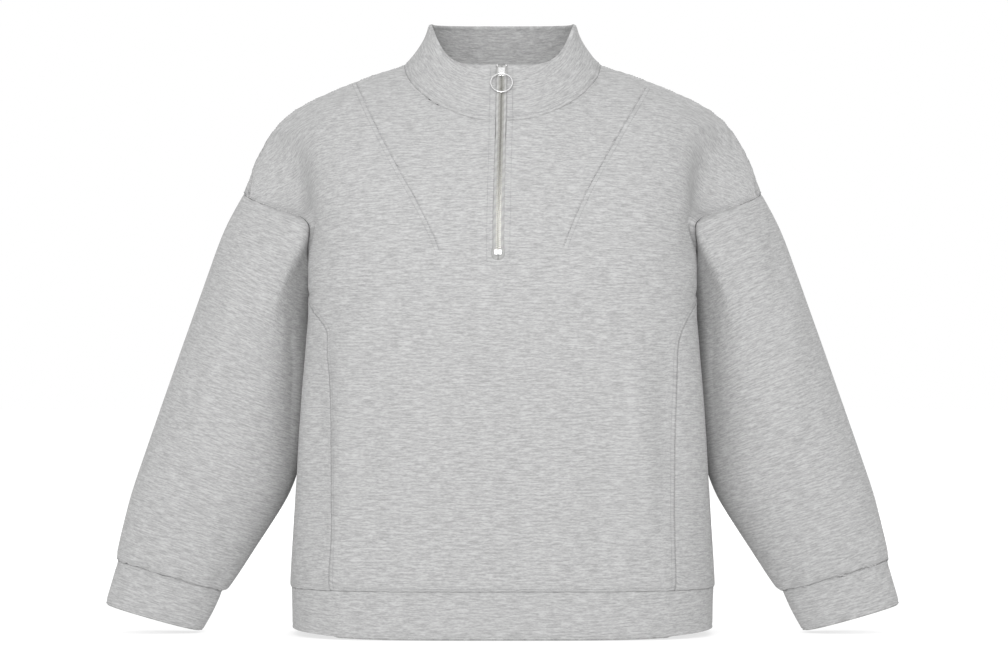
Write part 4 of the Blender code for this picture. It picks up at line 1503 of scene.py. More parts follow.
@dataclass(frozen=True)
class Cloth:
    """How cut pieces are finished: rolled seams, thickness and folded edges."""

    single: float = 0.0020
    double: float = 0.0036
    proud: float = 0.0008  # how far the face of a folded piece stands out
    roll: float = 0.0011  # width of the strip that rolls in beside a seam
    sink: Pair = (0.0014, 0.0001)  # of the edge and of the strip's other side
    parting: float = 0.00028  # half the gap between two sewn pieces
    rim_dent: float = 0.0004  # the turned edge of a folded piece swells above this
    rim_strip: float = 0.0034  # how far from the edge the dent lies at most
    round: float = 0.0012
    round_steps: int = 3
    round_angle: float = math.radians(50)
    touching: float = 5e-5  # an edge this near a seam is sewn

    def edges(self, sheet: Sheet, grid: Grid, work: bmesh.types.BMesh) -> None:
        """Rolls a piece's edges in where it is sewn, and swells them where it is folded.

        Args:
            sheet: the sheet that it was cut from.
            grid: the piece.
            work: its mesh.
        """
        bmesh.ops.inset_region(
            work,
            faces=work.faces[:],
            thickness=self.roll,
            use_boundary=True,
            use_even_offset=True,
            use_interpolate=True,
        )
        work.normal_update()
        rim = dict.fromkeys(v for edge in work.edges if edge.is_boundary for v in edge.verts)
        moves: list[tuple[bmesh.types.BMVert, Vector]] = []
        for vertex in rim:
            inner = [e.other_vert(vertex) for e in vertex.link_edges if not e.is_boundary]
            sewn = sheet.seam_tree.find(vertex.co)[2] < self.touching
            if sewn:
                moves.append((vertex, vertex.normal * -self.sink[0]))
            for near in inner:
                if near in rim:
                    continue
                if sewn:
                    inward = (near.co - vertex.co).normalized() * self.parting / len(inner)
                    moves.append((vertex, inward))
                    moves.append((near, near.normal * -self.sink[1]))
                elif grid.folded:
                    for third in (e.other_vert(near) for e in near.link_edges):
                        if third not in rim and (third.co - vertex.co).length < self.rim_strip:
                            moves.append((third, third.normal * -self.rim_dent))
        for vertex, move in moves:
            vertex.co += move

    def finish(
        self, sheet: Sheet, grid: Grid, material: bpy.types.Material, grooves: Sequence[Groove] = ()
    ) -> bpy.types.Object:
        """One finished piece, standing for its node.

        Args:
            sheet: the sheet to cut it from.
            grid: the piece.
            material: its finish.
            grooves: seams inside it.

        Returns:
            The object.
        """
        work = sheet.piece(grid.node)
        area = sum(face.calc_area() for face in work.faces)
        for groove in grooves:
            groove.press(work)
        self.edges(sheet, grid, work)
        piece = link(f"{grid.node}_cloth", to_mesh(grid.node + "_cloth", work), material, "garment")
        wall = piece.modifiers.new("thickness", "SOLIDIFY")
        wall.thickness = self.double if grid.folded else self.single
        outer = self.proud if grid.folded else (0.0 if grid.group is Group.ARM else self.single / 2)
        wall.offset = 2 * outer / wall.thickness - 1
        if grid.folded:
            turned = piece.modifiers.new("turned_edge", "BEVEL")
            turned.width, turned.segments = self.round, self.round_steps
            turned.limit_method, turned.angle_limit = "ANGLE", self.round_angle
        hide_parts(grid.node)
        width, length = grid.cut()
        area = min(area, width * length)
        neighbours(grid.node)
        LOG.info("%s: %.3f by %.3f m, %.4f square metres", piece.name, width, length, area)
        return piece


def neighbours(node: str) -> list[str]:
    """The nodes that a piece of cloth is sewn to and hangs from.

    Args:
        node: its name.

    Returns:
        Their names.
    """
    held_by = {"front_panel": ["back_panel", "collar"], "back_panel": ["front_panel", "collar"]}
    if node.startswith("cuff_"):
        return [node.replace("cuff", "sleeve")]
    return held_by.get(node, ["front_panel", "back_panel"])


# ---- sewing
def stamped(name: str, work: bmesh.types.BMesh, places: Sequence[Array]) -> bpy.types.Mesh:
    """Many copies of one small shape, joined.

    Args:
        name: of the mesh.
        work: the shape, which is freed.
        places: a 4 by 4 matrix for each copy.

    Returns:
        The joined mesh.
    """
    work.verts.ensure_lookup_table()
    corners = np.array([vertex.co[:] for vertex in work.verts])
    faces = [[vertex.index for vertex in face.verts] for face in work.faces]
    work.free()
    points = np.concatenate([corners @ m[:3, :3].T + m[:3, 3] for m in places])
    copies = [
        [corner + number * len(corners) for corner in face]
        for number in range(len(places))
        for face in faces
    ]
    mesh = bpy.data.meshes.new(name)
    mesh.from_pydata(points.tolist(), [], copies)
    mesh.shade_smooth()
    return mesh


@dataclass(frozen=True)
class Stitches:
    """Rows of machine stitches laid on the cloth."""

    length: float = 0.0029
    pitch: float = 0.0034
    thickness: float = 0.00050
    sunk: float = 0.00014  # how deep a stitch lies in the nap
    shortest: float = 0.2  # share of its length that a stitch must run on the cloth
    facets: tuple[int, int] = (6, 4)  # round a stitch and along it

    def row(self, sheet: Sheet, points: Array, lift: float) -> list[Array]:
        """Places for the stitches of one row.

        Args:
            sheet: the cloth, on which the row is laid.
            points: the row's line, near the cloth.
            lift: the cloth's face above the sheet.

        Returns:
            A 4 by 4 matrix for each stitch.
        """
        along = distances(points)
        count = int(along[-1] / self.pitch)
        places = []
        for i in range(count):
            middle = (i + 0.5) * self.pitch
            here, ahead = (
                np.array([np.interp(middle + step, along, points[:, k]) for k in range(3)])
                for step in (0.0, self.length / 2)
            )
            found, normal, _, _ = sheet.tree.find_nearest(Vector(here))
            other, _, _, _ = sheet.tree.find_nearest(Vector(ahead))
            if found is None or (other - found).length < self.length * self.shortest:
                continue
            run = (other - found).normalized()
            up = (normal - run * normal.dot(run)).normalized()
            aside = up.cross(run)
            place = np.eye(4)
            place[:3, 0], place[:3, 1], place[:3, 2] = run, aside, up
            place[:3, 3] = found + up * (lift + self.thickness / 2 - self.sunk)
            places.append(place)
        return places

    def sew(self, name: str, places: Sequence[Array], finish: bpy.types.Material) -> None:
        """Adds the stitches as one piece.

        Args:
            name: of the piece.
            places: of the stitches.
            finish: the thread's.
        """
        work = bmesh.new()
        sides, rings = self.facets
        bmesh.ops.create_uvsphere(work, u_segments=sides, v_segments=rings, radius=1.0)
        turn = Matrix.Rotation(math.pi / 2, 3, "Y")
        bmesh.ops.transform(work, matrix=turn.to_4x4(), verts=work.verts)
        half = self.thickness / 2
        bmesh.ops.scale(work, vec=(self.length / 2, half, half), verts=work.verts)
        piece = link(name, stamped(name, work, places), finish, "garment")
        LOG.info("%s: %d stitches", name, len(places))


# ---- zip
def bevel(work: bmesh.types.BMesh, edges: Iterable[bmesh.types.BMEdge], offset: float, steps: int) -> None:
    """Rounds some edges of a small metal part, each with so many faces across."""
    ways = {"profile": 0.5, "affect": "EDGES", "material": -1}
    bmesh.ops.bevel(work, geom=list(edges), offset=offset, segments=steps, **ways)


@dataclass(frozen=True)
class ZipLine:
    """The middle of the zip, from the collar's rim down, by distance along it."""

    panels: Panels
    bands: Bands
    tape_sink: float = 0.0018
    sink_run: float = 0.025
    sag_shares: tuple[float, ...] = (0.0, 0.03, 0.06, 0.09)

    @functools.cached_property
    def points(self) -> Array:
        """Points down the zip, from the rim to below the foot of the opening.

        Returns:
            The points.
        """
        steps = self.bands.collar_steps
        middles = [self.bands.collar_point(0.0, i / steps) for i in range(steps)]
        middles += [self.panels.point(0.0, fall, False) for fall in self.panels.slit_falls()]
        place = self.panels.on_side
        return np.array([(place(p, -1) + place(p, 1)) / 2 for p in middles])

    @functools.cached_property
    def along(self) -> Array:
        """The distance of each point from the rim."""
        return distances(self.points)

    @property
    def seam(self) -> float:
        """Where the neck seam crosses."""
        return float(self.along[self.bands.collar_steps])

    @property
    def foot(self) -> float:
        """Where the opening ends."""
        return float(self.along[-2])

    def point(self, way: float) -> Array:
        """The point at a distance from the rim."""
        return curve_through(self.along, self.points, way)

    def frame(self, way: float) -> tuple[Array, Array, Array, Array]:
        """(point, sideways, down, outward) there.

        Args:
            way: distance from the rim.

        Returns:
            The point and the three directions.
        """
        nudge = self.panels.nudge
        down = unit(self.point(way + nudge) - self.point(way - nudge))
        outward = unit(np.cross(down, (1.0, 0.0, 0.0)))
        return self.point(way), np.cross(outward, down), down, outward

    def sink(self, way: float) -> float:
        """How far behind the cloth's middle the tapes lie: not at all in the collar."""
        return self.tape_sink * smooth((way - self.seam) / self.sink_run)

    def sag(self, way: float, across: float) -> float:
        """How far the front panel curves back this far from the zip's middle.

        Args:
            way: distance from the rim.
            across: distance from the zip's middle.

        Returns:
            The distance back.
        """
        if way < self.seam:
            return 0.0
        fall = np.interp(way, self.along[self.bands.collar_steps :], self.panels.slit_falls())
        place = self.panels.on_side
        near = [place(self.panels.point(share, fall, False), 1) for share in self.sag_shares]
        outward = self.frame(way)[3]
        backs = [(near[0] - point) @ outward for point in near]
        return float(np.interp(across - near[0][0], [p[0] - near[0][0] for p in near], backs))

    def place(self, way: float, across: float = 0.0, lift: float = 0.0) -> Array:
        """A 4 by 4 place on the zip: X sideways, Y up along the chain, Z out of the cloth.

        Args:
            way: distance from the rim.
            across: towards +X.
            lift: out of the cloth.

        Returns:
            The place.
        """
        middle, sideways, down, outward = self.frame(way)
        found = np.eye(4)
        found[:3, 0], found[:3, 1], found[:3, 2] = sideways, -down, outward
        found[:3, 3] = middle + sideways * across + outward * (lift - self.sink(way))
        return found


@dataclass(frozen=True)
class Zip:
    """The metal zip: tapes, teeth, stops, the slider and its pull ring."""

    line: ZipLine
    tape_bead: float = 0.0009  # its bead runs this near the middle, between the teeth
    tape_shut: float = 0.0001  # and below the bottom stop the tapes meet
    tape_collar: float = 0.0059
    tape_body: float = 0.0120
    tape_thickness: float = 0.0010
    tape_rows: int = 90
    tape_columns: int = 4
    tape_top: float = 0.0012
    tape_closing: float = 0.002  # length over which the tapes draw together at the bottom stop
    tape_widening: float = 0.004  # and over which they widen below the collar
    tape_fill: float = 0.85  # share of its cut's rectangle: it is narrower in the collar
    below_foot: float = 0.006
    tooth: Triple = (0.0036, 0.00125, 0.0023)
    tooth_pitch: float = 0.0023
    tooth_reach: float = 0.0004  # of its head past the zip's middle
    tooth_head: Pair = (0.8, 0.85)  # its height and depth, as shares
    tooth_round: float = 0.00022
    tooth_top: float = 0.003  # below the slider's upper end
    sharp_tooth: float = math.radians(35)
    sharp_metal: float = math.radians(40)
    rounding: float = 0.28  # of a block's edges, as a share of its least size
    rounding_steps: int = 3
    slider_at: float = 0.0120
    slider: Pair = (0.0080, 0.0120)
    plate: Pair = (0.0015, 0.0027)  # its inner and outer face, from the middle
    plate_taper: float = 0.84
    post: Pair = (0.0012, 0.0025)  # half its width, and its length
    bail_radius: float = 0.0018
    bail_wall: float = 0.0007
    bail_width: float = 0.0023
    bail_reach: float = 0.5  # radians that each of its ends runs past half a circle
    bail_steps: int = 16
    hinge: Pair = (0.0040, 0.0042)  # below the slider's middle, and out
    ring_outer: float = 0.0265
    ring_wire: float = 0.0017
    ring_tilt: float = math.radians(2.7)
    ring_sides: int = 16
    ring_steps: int = 96
    top_stop: Triple = (0.0015, 0.0030, 0.0018)
    top_stop_at: Triple = (0.0051, 0.0028, 0.0017)
    bottom_stop: Triple = (0.0090, 0.0060, 0.0018)
    bottom_stop_up: float = 0.0065
    bottom_stop_lift: float = 0.0017
    lobe: float = 0.52  # width of each of its lobes, as a share of its own

    def tape(self, side: Side, finish: bpy.types.Material) -> None:
        """One tape, a thin strip behind the opening's edge.

        Args:
            side: which tape.
            finish: the tape's.
        """
        line, rows, hand = self.line, self.tape_rows, side.value
        work = bmesh.new()
        grain = work.loops.layers.uv.new(GRAIN)
        made = bmesh.ops.create_grid(work, x_segments=self.tape_columns, y_segments=rows, size=0.5)
        ways = np.linspace(self.tape_top, line.foot + self.below_foot, rows + 1)
        widening = line.seam + line.sink_run
        stop = line.foot - self.bottom_stop_up
        for vertex in made["verts"]:
            way = ways[round((0.5 - vertex.co.y) * rows)]
            share = 0.5 + hand * vertex.co.x
            closed = smooth((way - stop) / self.tape_closing)
            inner = self.tape_bead + (self.tape_shut - self.tape_bead) * closed
            wide = smooth((way - widening) / self.tape_widening)
            outer = self.tape_collar + (self.tape_body - self.tape_collar) * wide
            across = inner + (outer - inner) * share
            middle, sideways, _, outward = line.frame(way)
            depth = line.sink(way) + line.sag(way, across)
            for loop in vertex.link_loops:
                loop[grain].uv = (hand * across, way)
            vertex.co = middle + sideways * hand * across - outward * depth
        name = f"zip_tape_{side.label}"
        piece = link(f"{name}_woven", to_mesh(name + "_woven", work), finish, "garment")
        wall = piece.modifiers.new("thickness", "SOLIDIFY")
        wall.thickness, wall.offset = self.tape_thickness, 0.0
        piece.data.shade_smooth()
        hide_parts(name)
        width, length = self.tape_body - self.tape_bead, line.foot + self.below_foot - self.tape_top

    def teeth(self, finish: bpy.types.Material) -> None:
        """Both rows of teeth, which mesh half a pitch apart.

        Args:
            finish: the metal's.
        """
        work = bmesh.new()
        bmesh.ops.create_cube(work, size=1.0)
        bmesh.ops.scale(work, vec=self.tooth, verts=work.verts)
        middle = self.tooth[0] / 2 - self.tooth_reach
        bmesh.ops.translate(work, vec=(middle, 0, 0), verts=work.verts)
        heads = [vertex for vertex in work.verts if vertex.co.x < 0]
        bmesh.ops.scale(work, vec=(1, *self.tooth_head), verts=heads)
        bevel(work, work.edges[:], self.tooth_round, 1)
        top = self.slider_at - self.slider[1] / 2 + self.tooth_top
        foot = self.line.foot - self.bottom_stop_up - self.bottom_stop[1] / 2
        places = []
        for number in range(int((foot - top) / self.tooth_pitch * 2)):
            place = self.line.place(top + (number + 0.5) * self.tooth_pitch / 2)
            if number % 2:
                place = place @ np.diag([-1.0, -1.0, 1.0, 1.0])
            places.append(place)
        piece = link("zip_teeth", stamped("zip_teeth", work, places), finish, "garment")
        piece.data.set_sharp_from_angle(angle=self.sharp_tooth)
        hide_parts("zip_chain")
        LOG.info("zip_teeth: %d teeth", len(places))

    def block(
        self, work: bmesh.types.BMesh, low: Sequence[float], high: Sequence[float], taper: float = 1.0
    ) -> None:
        """A block with rounded edges between two corners.

        Args:
            work: where it goes.
            low: its lowest corner.
            high: its highest corner.
            taper: its width at its lower end, as a share of that at its upper end.
        """
        made = bmesh.ops.create_cube(work, size=1.0)["verts"]
        size, middle = np.subtract(high, low), (np.array(high) + low) / 2
        for vertex in made:
            narrow = taper if vertex.co.y < 0 else 1.0
            vertex.co.x *= narrow
            vertex.co = Vector(np.array(vertex.co) * size + middle)
        edges = dict.fromkeys(edge for vertex in made for edge in vertex.link_edges)
        bevel(work, edges, min(size) * self.rounding, self.rounding_steps)

    def dress(
        self, name: str, work: bmesh.types.BMesh, place: Array, finish: bpy.types.Material, body: str
    ) -> None:
        """Puts a small metal part in its place, for the node of the same name.

        Args:
            name: the node's.
            work: the part, about its own origin.
            place: 4 by 4.
            finish: the metal's.
            body: the body it moves with.
        """
        bmesh.ops.transform(work, matrix=Matrix(place), verts=work.verts)
        bmesh.ops.recalc_face_normals(work, faces=work.faces)
        mesh = to_mesh(name + "_metal", work)
        mesh.shade_smooth()
        mesh.set_sharp_from_angle(angle=self.sharp_metal)
        piece = link(name + "_metal", mesh, finish, body)
        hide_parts(name)

    def build_slider(self, finish: bpy.types.Material) -> None:
        """The slider: two plates, the post between them and the bail on the front one.

        Args:
            finish: the metal's.
        """
        work = bmesh.new()
        half_width, half_length = self.slider[0] / 2, self.slider[1] / 2
        inner, outer = self.plate
        for low, high in ((inner, outer), (-outer, -inner)):
            corners = (-half_width, -half_length, low), (half_width, half_length, high)
            self.block(work, *corners, taper=self.plate_taper)
        aside, length = self.post
        self.block(work, (-aside, half_length - length, -inner), (aside, half_length, inner))
        plates = set(work.verts)
        profile = bmesh.ops.create_grid(work, x_segments=1, y_segments=1, size=0.5)["verts"]
        bmesh.ops.scale(work, vec=(self.bail_width, self.bail_wall, 1.0), verts=profile)
        bmesh.ops.translate(work, vec=(0, self.bail_radius, 0), verts=profile)
        turn = Matrix.Rotation(-self.bail_reach, 3, "X")
        bmesh.ops.rotate(work, cent=(0, 0, 0), matrix=turn, verts=profile)
        face = profile[0].link_faces[0]
        start, angle = [*face.edges, *face.verts, face], math.pi + 2 * self.bail_reach
        bmesh.ops.spin(
            work, geom=start, cent=(0, 0, 0), axis=(1, 0, 0), angle=angle, steps=self.bail_steps
        )
        drop, lift = self.hinge
        bail = [vertex for vertex in work.verts if vertex not in plates]
        bmesh.ops.translate(work, vec=(0, -drop, lift), verts=bail)
        self.dress("slider", work, self.line.place(self.slider_at), finish, "garment")

    def build_ring(self, finish: bpy.types.Material) -> None:
        """The pull ring, which hangs from the bail and rides on its own body.

        Args:
            finish: the metal's.
        """
        work = bmesh.new()
        radius, wire = (self.ring_outer - self.ring_wire) / 2, self.ring_wire / 2
        made = bmesh.ops.create_circle(work, segments=self.ring_sides, radius=wire)["verts"]
        upright = Matrix.Rotation(math.pi / 2, 3, "X")
        bmesh.ops.rotate(work, cent=(0, 0, 0), matrix=upright, verts=made)
        bmesh.ops.translate(work, vec=(radius, 0, 0), verts=made)
        bmesh.ops.spin(
            work,
            geom=work.edges[:] + work.verts[:],
            cent=(0, 0, 0),
            axis=(0, 0, 1),
            angle=2 * math.pi,
            steps=self.ring_steps,
            use_merge=True,
        )
        bmesh.ops.remove_doubles(work, verts=work.verts, dist=WELD)
        bmesh.ops.translate(work, vec=(0, -radius, 0), verts=work.verts)
        tilt = Matrix.Rotation(self.ring_tilt, 3, "X")
        bmesh.ops.rotate(work, cent=(0, 0, 0), matrix=tilt, verts=work.verts)
        drop, lift = self.hinge
        place = self.line.place(self.slider_at + drop, lift=lift)
        self.dress("pull_ring", work, place, finish, "pull")

    def build_stops(self, finish: bpy.types.Material) -> None:
        """The top stops at the rim and the two-lobed bottom stop.

        Args:
            finish: the metal's.
        """
        across, down, lift = self.top_stop_at
        half = np.array(self.top_stop) / 2
        for side in (Side.RIGHT, Side.LEFT):
            work = bmesh.new()
            self.block(work, -half, half)
            place = self.line.place(down, side.value * across, lift)
            self.dress(f"top_stop_{side.label}", work, place, finish, "garment")
        half = np.array(self.bottom_stop) / 2
        lobe = half * (self.lobe, 1.0, 1.0)
        work = bmesh.new()
        for hand in (1, -1):
            middle = (hand * half[0] / 2, 0, 0)
            self.block(work, -lobe + middle, lobe + middle)
        place = self.line.place(self.line.foot - self.bottom_stop_up, lift=self.bottom_stop_lift)
        self.dress("bottom_stop", work, place, finish, "garment")


# ---- studio
@dataclass(frozen=True)
class Softbox:
    """A round softbox, which the camera doesn't see."""

    name: str
    place: Triple
    power: float  # watts
    size: float = 1.6

    def build(self, aim: Triple) -> None:
        """Adds the light.

        Args:
            aim: the point that it faces.
        """
        data = bpy.data.lights.new(self.name, "AREA")
        data.shape, data.size, data.energy = "DISK", self.size, self.power
        made = add_object(self.name, data)
        made.location = self.place
        way = Vector(aim) - Vector(self.place)
        made.rotation_euler = way.to_track_quat("-Z", "Y").to_euler()
        made.visible_camera = False


@dataclass(frozen=True)
class Studio:
    """The camera, a pale floor and soft light, as for a catalogue picture."""

    axis_pixel: Pair = (502.5, 66.0)  # where the origin shows
    frame_pixels: tuple[int, int] = (1008, 672)
    metres_per_pixel: float = 0.00117
    distance: float = 5.0
    sensor: float = 36.0
    floor_gap: float = 0.002
    floor_size: float = 30.0
    floor_glow: float = 0.72  # the paper is lit from below too, so its shadows are soft
    horizon: float = 0.38  # brightness of the room all round, away from the white wall
    zenith: float = 1.22
    rise: Pair = (0.12, 0.7)  # Z of the way where it starts and ends to brighten
    paper: str = "9b9b9b"
    paper_roughness: float = 0.9
    clip_end: float = 100.0
    aim: Triple = (0.0, 0.0, -0.3)
    softboxes: tuple[Softbox, ...] = (
        Softbox("front_softbox", (-0.25, -3.7, 0.75), 102.0),
        Softbox("back_softbox", (0.5, 3.7, 0.75), 60.0),
    )

    def camera(self) -> None:
        """The camera, level and square to the garment's front."""
        width, height = self.frame_pixels
        data = bpy.data.cameras.new("catalogue_camera")
        data.sensor_width = self.sensor
        data.lens = self.distance * self.sensor / (width * self.metres_per_pixel)
        data.clip_end = self.clip_end
        made = add_object("catalogue_camera", data)
        x = (width / 2 - self.axis_pixel[0]) * self.metres_per_pixel
        z = (self.axis_pixel[1] - height / 2) * self.metres_per_pixel
        made.location = (x, -self.distance, z)
        made.rotation_euler = (math.pi / 2, 0, 0)
        bpy.context.scene.camera = made

    def stage(self) -> None:
        """The floor and the softboxes."""
        work = bmesh.new()
        bmesh.ops.create_grid(work, x_segments=1, y_segments=1, size=self.floor_size / 2)
        low = CAD_BOX[0][2] - self.floor_gap
        bmesh.ops.translate(work, vec=(0, 0, low), verts=work.verts)
        floor = add_object("studio_floor", to_mesh("studio_floor", work))
        paper = {
            "Base Color": linear(self.paper),
            "Roughness": self.paper_roughness,
            "Specular IOR Level": 0.0,
            "Emission Color": linear("ffffff"),
            "Emission Strength": self.floor_glow,
        }
        floor.data.materials.append(new_material("seamless_paper", paper)[0])
        for softbox in self.softboxes:
            softbox.build(self.aim)

    def surroundings(self) -> None:
        """The room: white to the camera, and to the garment dimmer at the horizon than above."""
        world = bpy.data.worlds.new("studio_surroundings")
        world.use_nodes = True
        tree = world.node_tree
        background = tree.nodes["Background"]
        background.inputs["Color"].default_value = linear("ffffff")
        way = add_node(tree, "ShaderNodeTexCoord").outputs["Generated"]
        up = add_node(tree, "ShaderNodeSeparateXYZ", {0: way}).outputs["Z"]
        low, high = self.rise
        glow = add_node(
            tree,
            "ShaderNodeMapRange",
            {"Value": up},
            {"From Min": low, "From Max": high, "To Min": self.horizon, "To Max": self.zenith},
        ).outputs[0]
        seen = add_node(tree, "ShaderNodeLightPath").outputs["Is Camera Ray"]
        bright = add_node(tree, "ShaderNodeMapRange", {"Value": seen, "To Min": glow}).outputs[0]
        tree.links.new(bright, background.inputs["Strength"])
        bpy.context.scene.world = world
        bpy.context.scene.view_settings.view_transform = "Standard"


# ---- the garment
# The folds, by where they lie. Each row is where a fold starts and where it ends in the front
# view (across, up, across, up), its half-width, its height and how far its middle bends aside.
FOLD_ROWS: dict[tuple[Group, Face], tuple[tuple[float, ...], ...]] = {
    (Group.TORSO, Face.FRONT): (
        (-0.146, -0.256, -0.232, -0.324, 0.017, -0.0062, 0.004),
        (-0.128, -0.284, -0.214, -0.352, 0.020, 0.0042, 0.004),
        (-0.200, -0.300, -0.204, -0.580, 0.022, -0.0085, -0.004),
        (-0.176, -0.310, -0.184, -0.602, 0.018, 0.0040, -0.004),
        (-0.150, -0.330, -0.160, -0.570, 0.018, -0.0058, 0.004),
        (0.143, -0.322, 0.162, -0.590, 0.022, 0.0056, 0.005),
        (0.186, -0.290, 0.196, -0.540, 0.018, -0.0052, -0.003),
        (0.100, -0.380, 0.112, -0.600, 0.018, -0.0028, 0.003),
        (-0.252, -0.080, -0.246, -0.236, 0.025, -0.0270, 0.002),
        (0.249, -0.074, 0.243, -0.238, 0.025, -0.0300, -0.002),
        (-0.222, -0.222, -0.140, -0.246, 0.012, -0.0016, 0.004),
        (0.228, -0.226, 0.150, -0.254, 0.012, -0.0018, -0.004),
    ),
    (Group.TORSO, Face.BACK): (
        (-0.158, -0.275, -0.192, -0.560, 0.021, 0.0044, -0.005),
        (0.150, -0.300, 0.186, -0.575, 0.020, 0.0046, 0.004),
        (0.030, -0.360, -0.020, -0.590, 0.026, 0.0030, 0.006),
        (-0.090, -0.400, -0.104, -0.600, 0.017, -0.0022, 0.004),
        (0.215, -0.200, 0.140, -0.262, 0.015, -0.0030, -0.005),
        (-0.212, -0.205, -0.136, -0.255, 0.014, -0.0026, 0.005),
    ),
    (Group.ARM, Face.FRONT): (
        (0.314, -0.168, 0.326, -0.300, 0.014, -0.0044, 0.003),
        (-0.224, -0.222, -0.240, -0.476, 0.040, -0.0110, 0.004),
        (0.226, -0.232, 0.243, -0.490, 0.040, -0.0110, -0.004),
        (0.334, -0.230, 0.344, -0.470, 0.015, 0.0034, -0.004),
        (0.300, -0.330, 0.372, -0.388, 0.012, -0.0024, 0.004),
        (0.292, -0.440, 0.362, -0.420, 0.011, 0.0020, 0.004),
        (-0.296, -0.205, -0.352, -0.424, 0.017, 0.0030, 0.004),
        (-0.262, -0.352, -0.338, -0.392, 0.012, -0.0022, -0.004),
        (-0.330, -0.470, -0.394, -0.452, 0.011, 0.0016, 0.003),
    ),
    (Group.ARM, Face.BACK): (
        (0.300, -0.240, 0.352, -0.430, 0.018, 0.0036, 0.005),
        (0.276, -0.356, 0.352, -0.338, 0.013, -0.0030, 0.004),
        (-0.305, -0.260, -0.362, -0.470, 0.018, 0.0036, -0.005),
        (-0.270, -0.384, -0.344, -0.350, 0.012, -0.0028, -0.003),
    ),
}
FOLDS = [
    Fold(*place, row[0:2], row[2:4], *row[4:]) for place, rows in FOLD_ROWS.items() for row in rows
]
# The dart seams: runs of the seam from each shoulder to the chest, in the front view.
DARTS = {
    Side.LEFT: (
        (-0.1700, -0.0205),
        (-0.1457, -0.0725),
        (-0.1199, -0.1217),
        (-0.1000, -0.1568),
        (-0.0766, -0.2036),
        (-0.0700, -0.2210),
    ),
    Side.RIGHT: (
        (0.1667, -0.0260),
        (0.1281, -0.0924),
        (0.0942, -0.1533),
        (0.0760, -0.1945),
        (0.0680, -0.2160),
    ),
}


@dataclass(frozen=True)
class Gathers:
    """The small tucks where each full sleeve is drawn into its cuff."""

    tucks: Table = Table(
        ("share of the cuff's width", "length"),
        ((0.10, 0.034), (0.27, 0.046), (0.41, 0.028), (0.60, 0.050), (0.78, 0.038), (0.92, 0.030)),
    )
    axis: Pair = (-0.33, 0.94)  # up the forearm on +X, in the front view
    stagger: float = 0.03  # in share, from one side to the other
    below: float = 0.012  # how far they start below the cuff's seam
    half_width: float = 0.0068
    heights: Pair = (0.0017, -0.0015)  # ridges and troughs take turns

    def folds(self, cuff: Table) -> list[Fold]:
        """The tucks of both sleeves, in front and behind.

        Args:
            cuff: the sections of the cuff on +X.

        Returns:
            The folds.
        """
        out_x, out_z, in_x, in_z = cuff.values[0, :4]
        axis = unit(np.array(self.axis))
        found = []
        for face in Face:
            for hand in (1, -1):
                for number, (share, length) in enumerate(self.tucks.rows):
                    share = share + self.stagger * hand * face.value
                    foot = np.array([out_x + (in_x - out_x) * share, out_z + (in_z - out_z) * share])
                    foot = foot - axis * self.below
                    head = foot + axis * (length + self.below)
                    start, end = (foot[0] * hand, foot[1]), (head[0] * hand, head[1])
                    height = self.heights[number % 2]
                    found.append(Fold(Group.ARM, face, start, end, self.half_width, height))
        return found


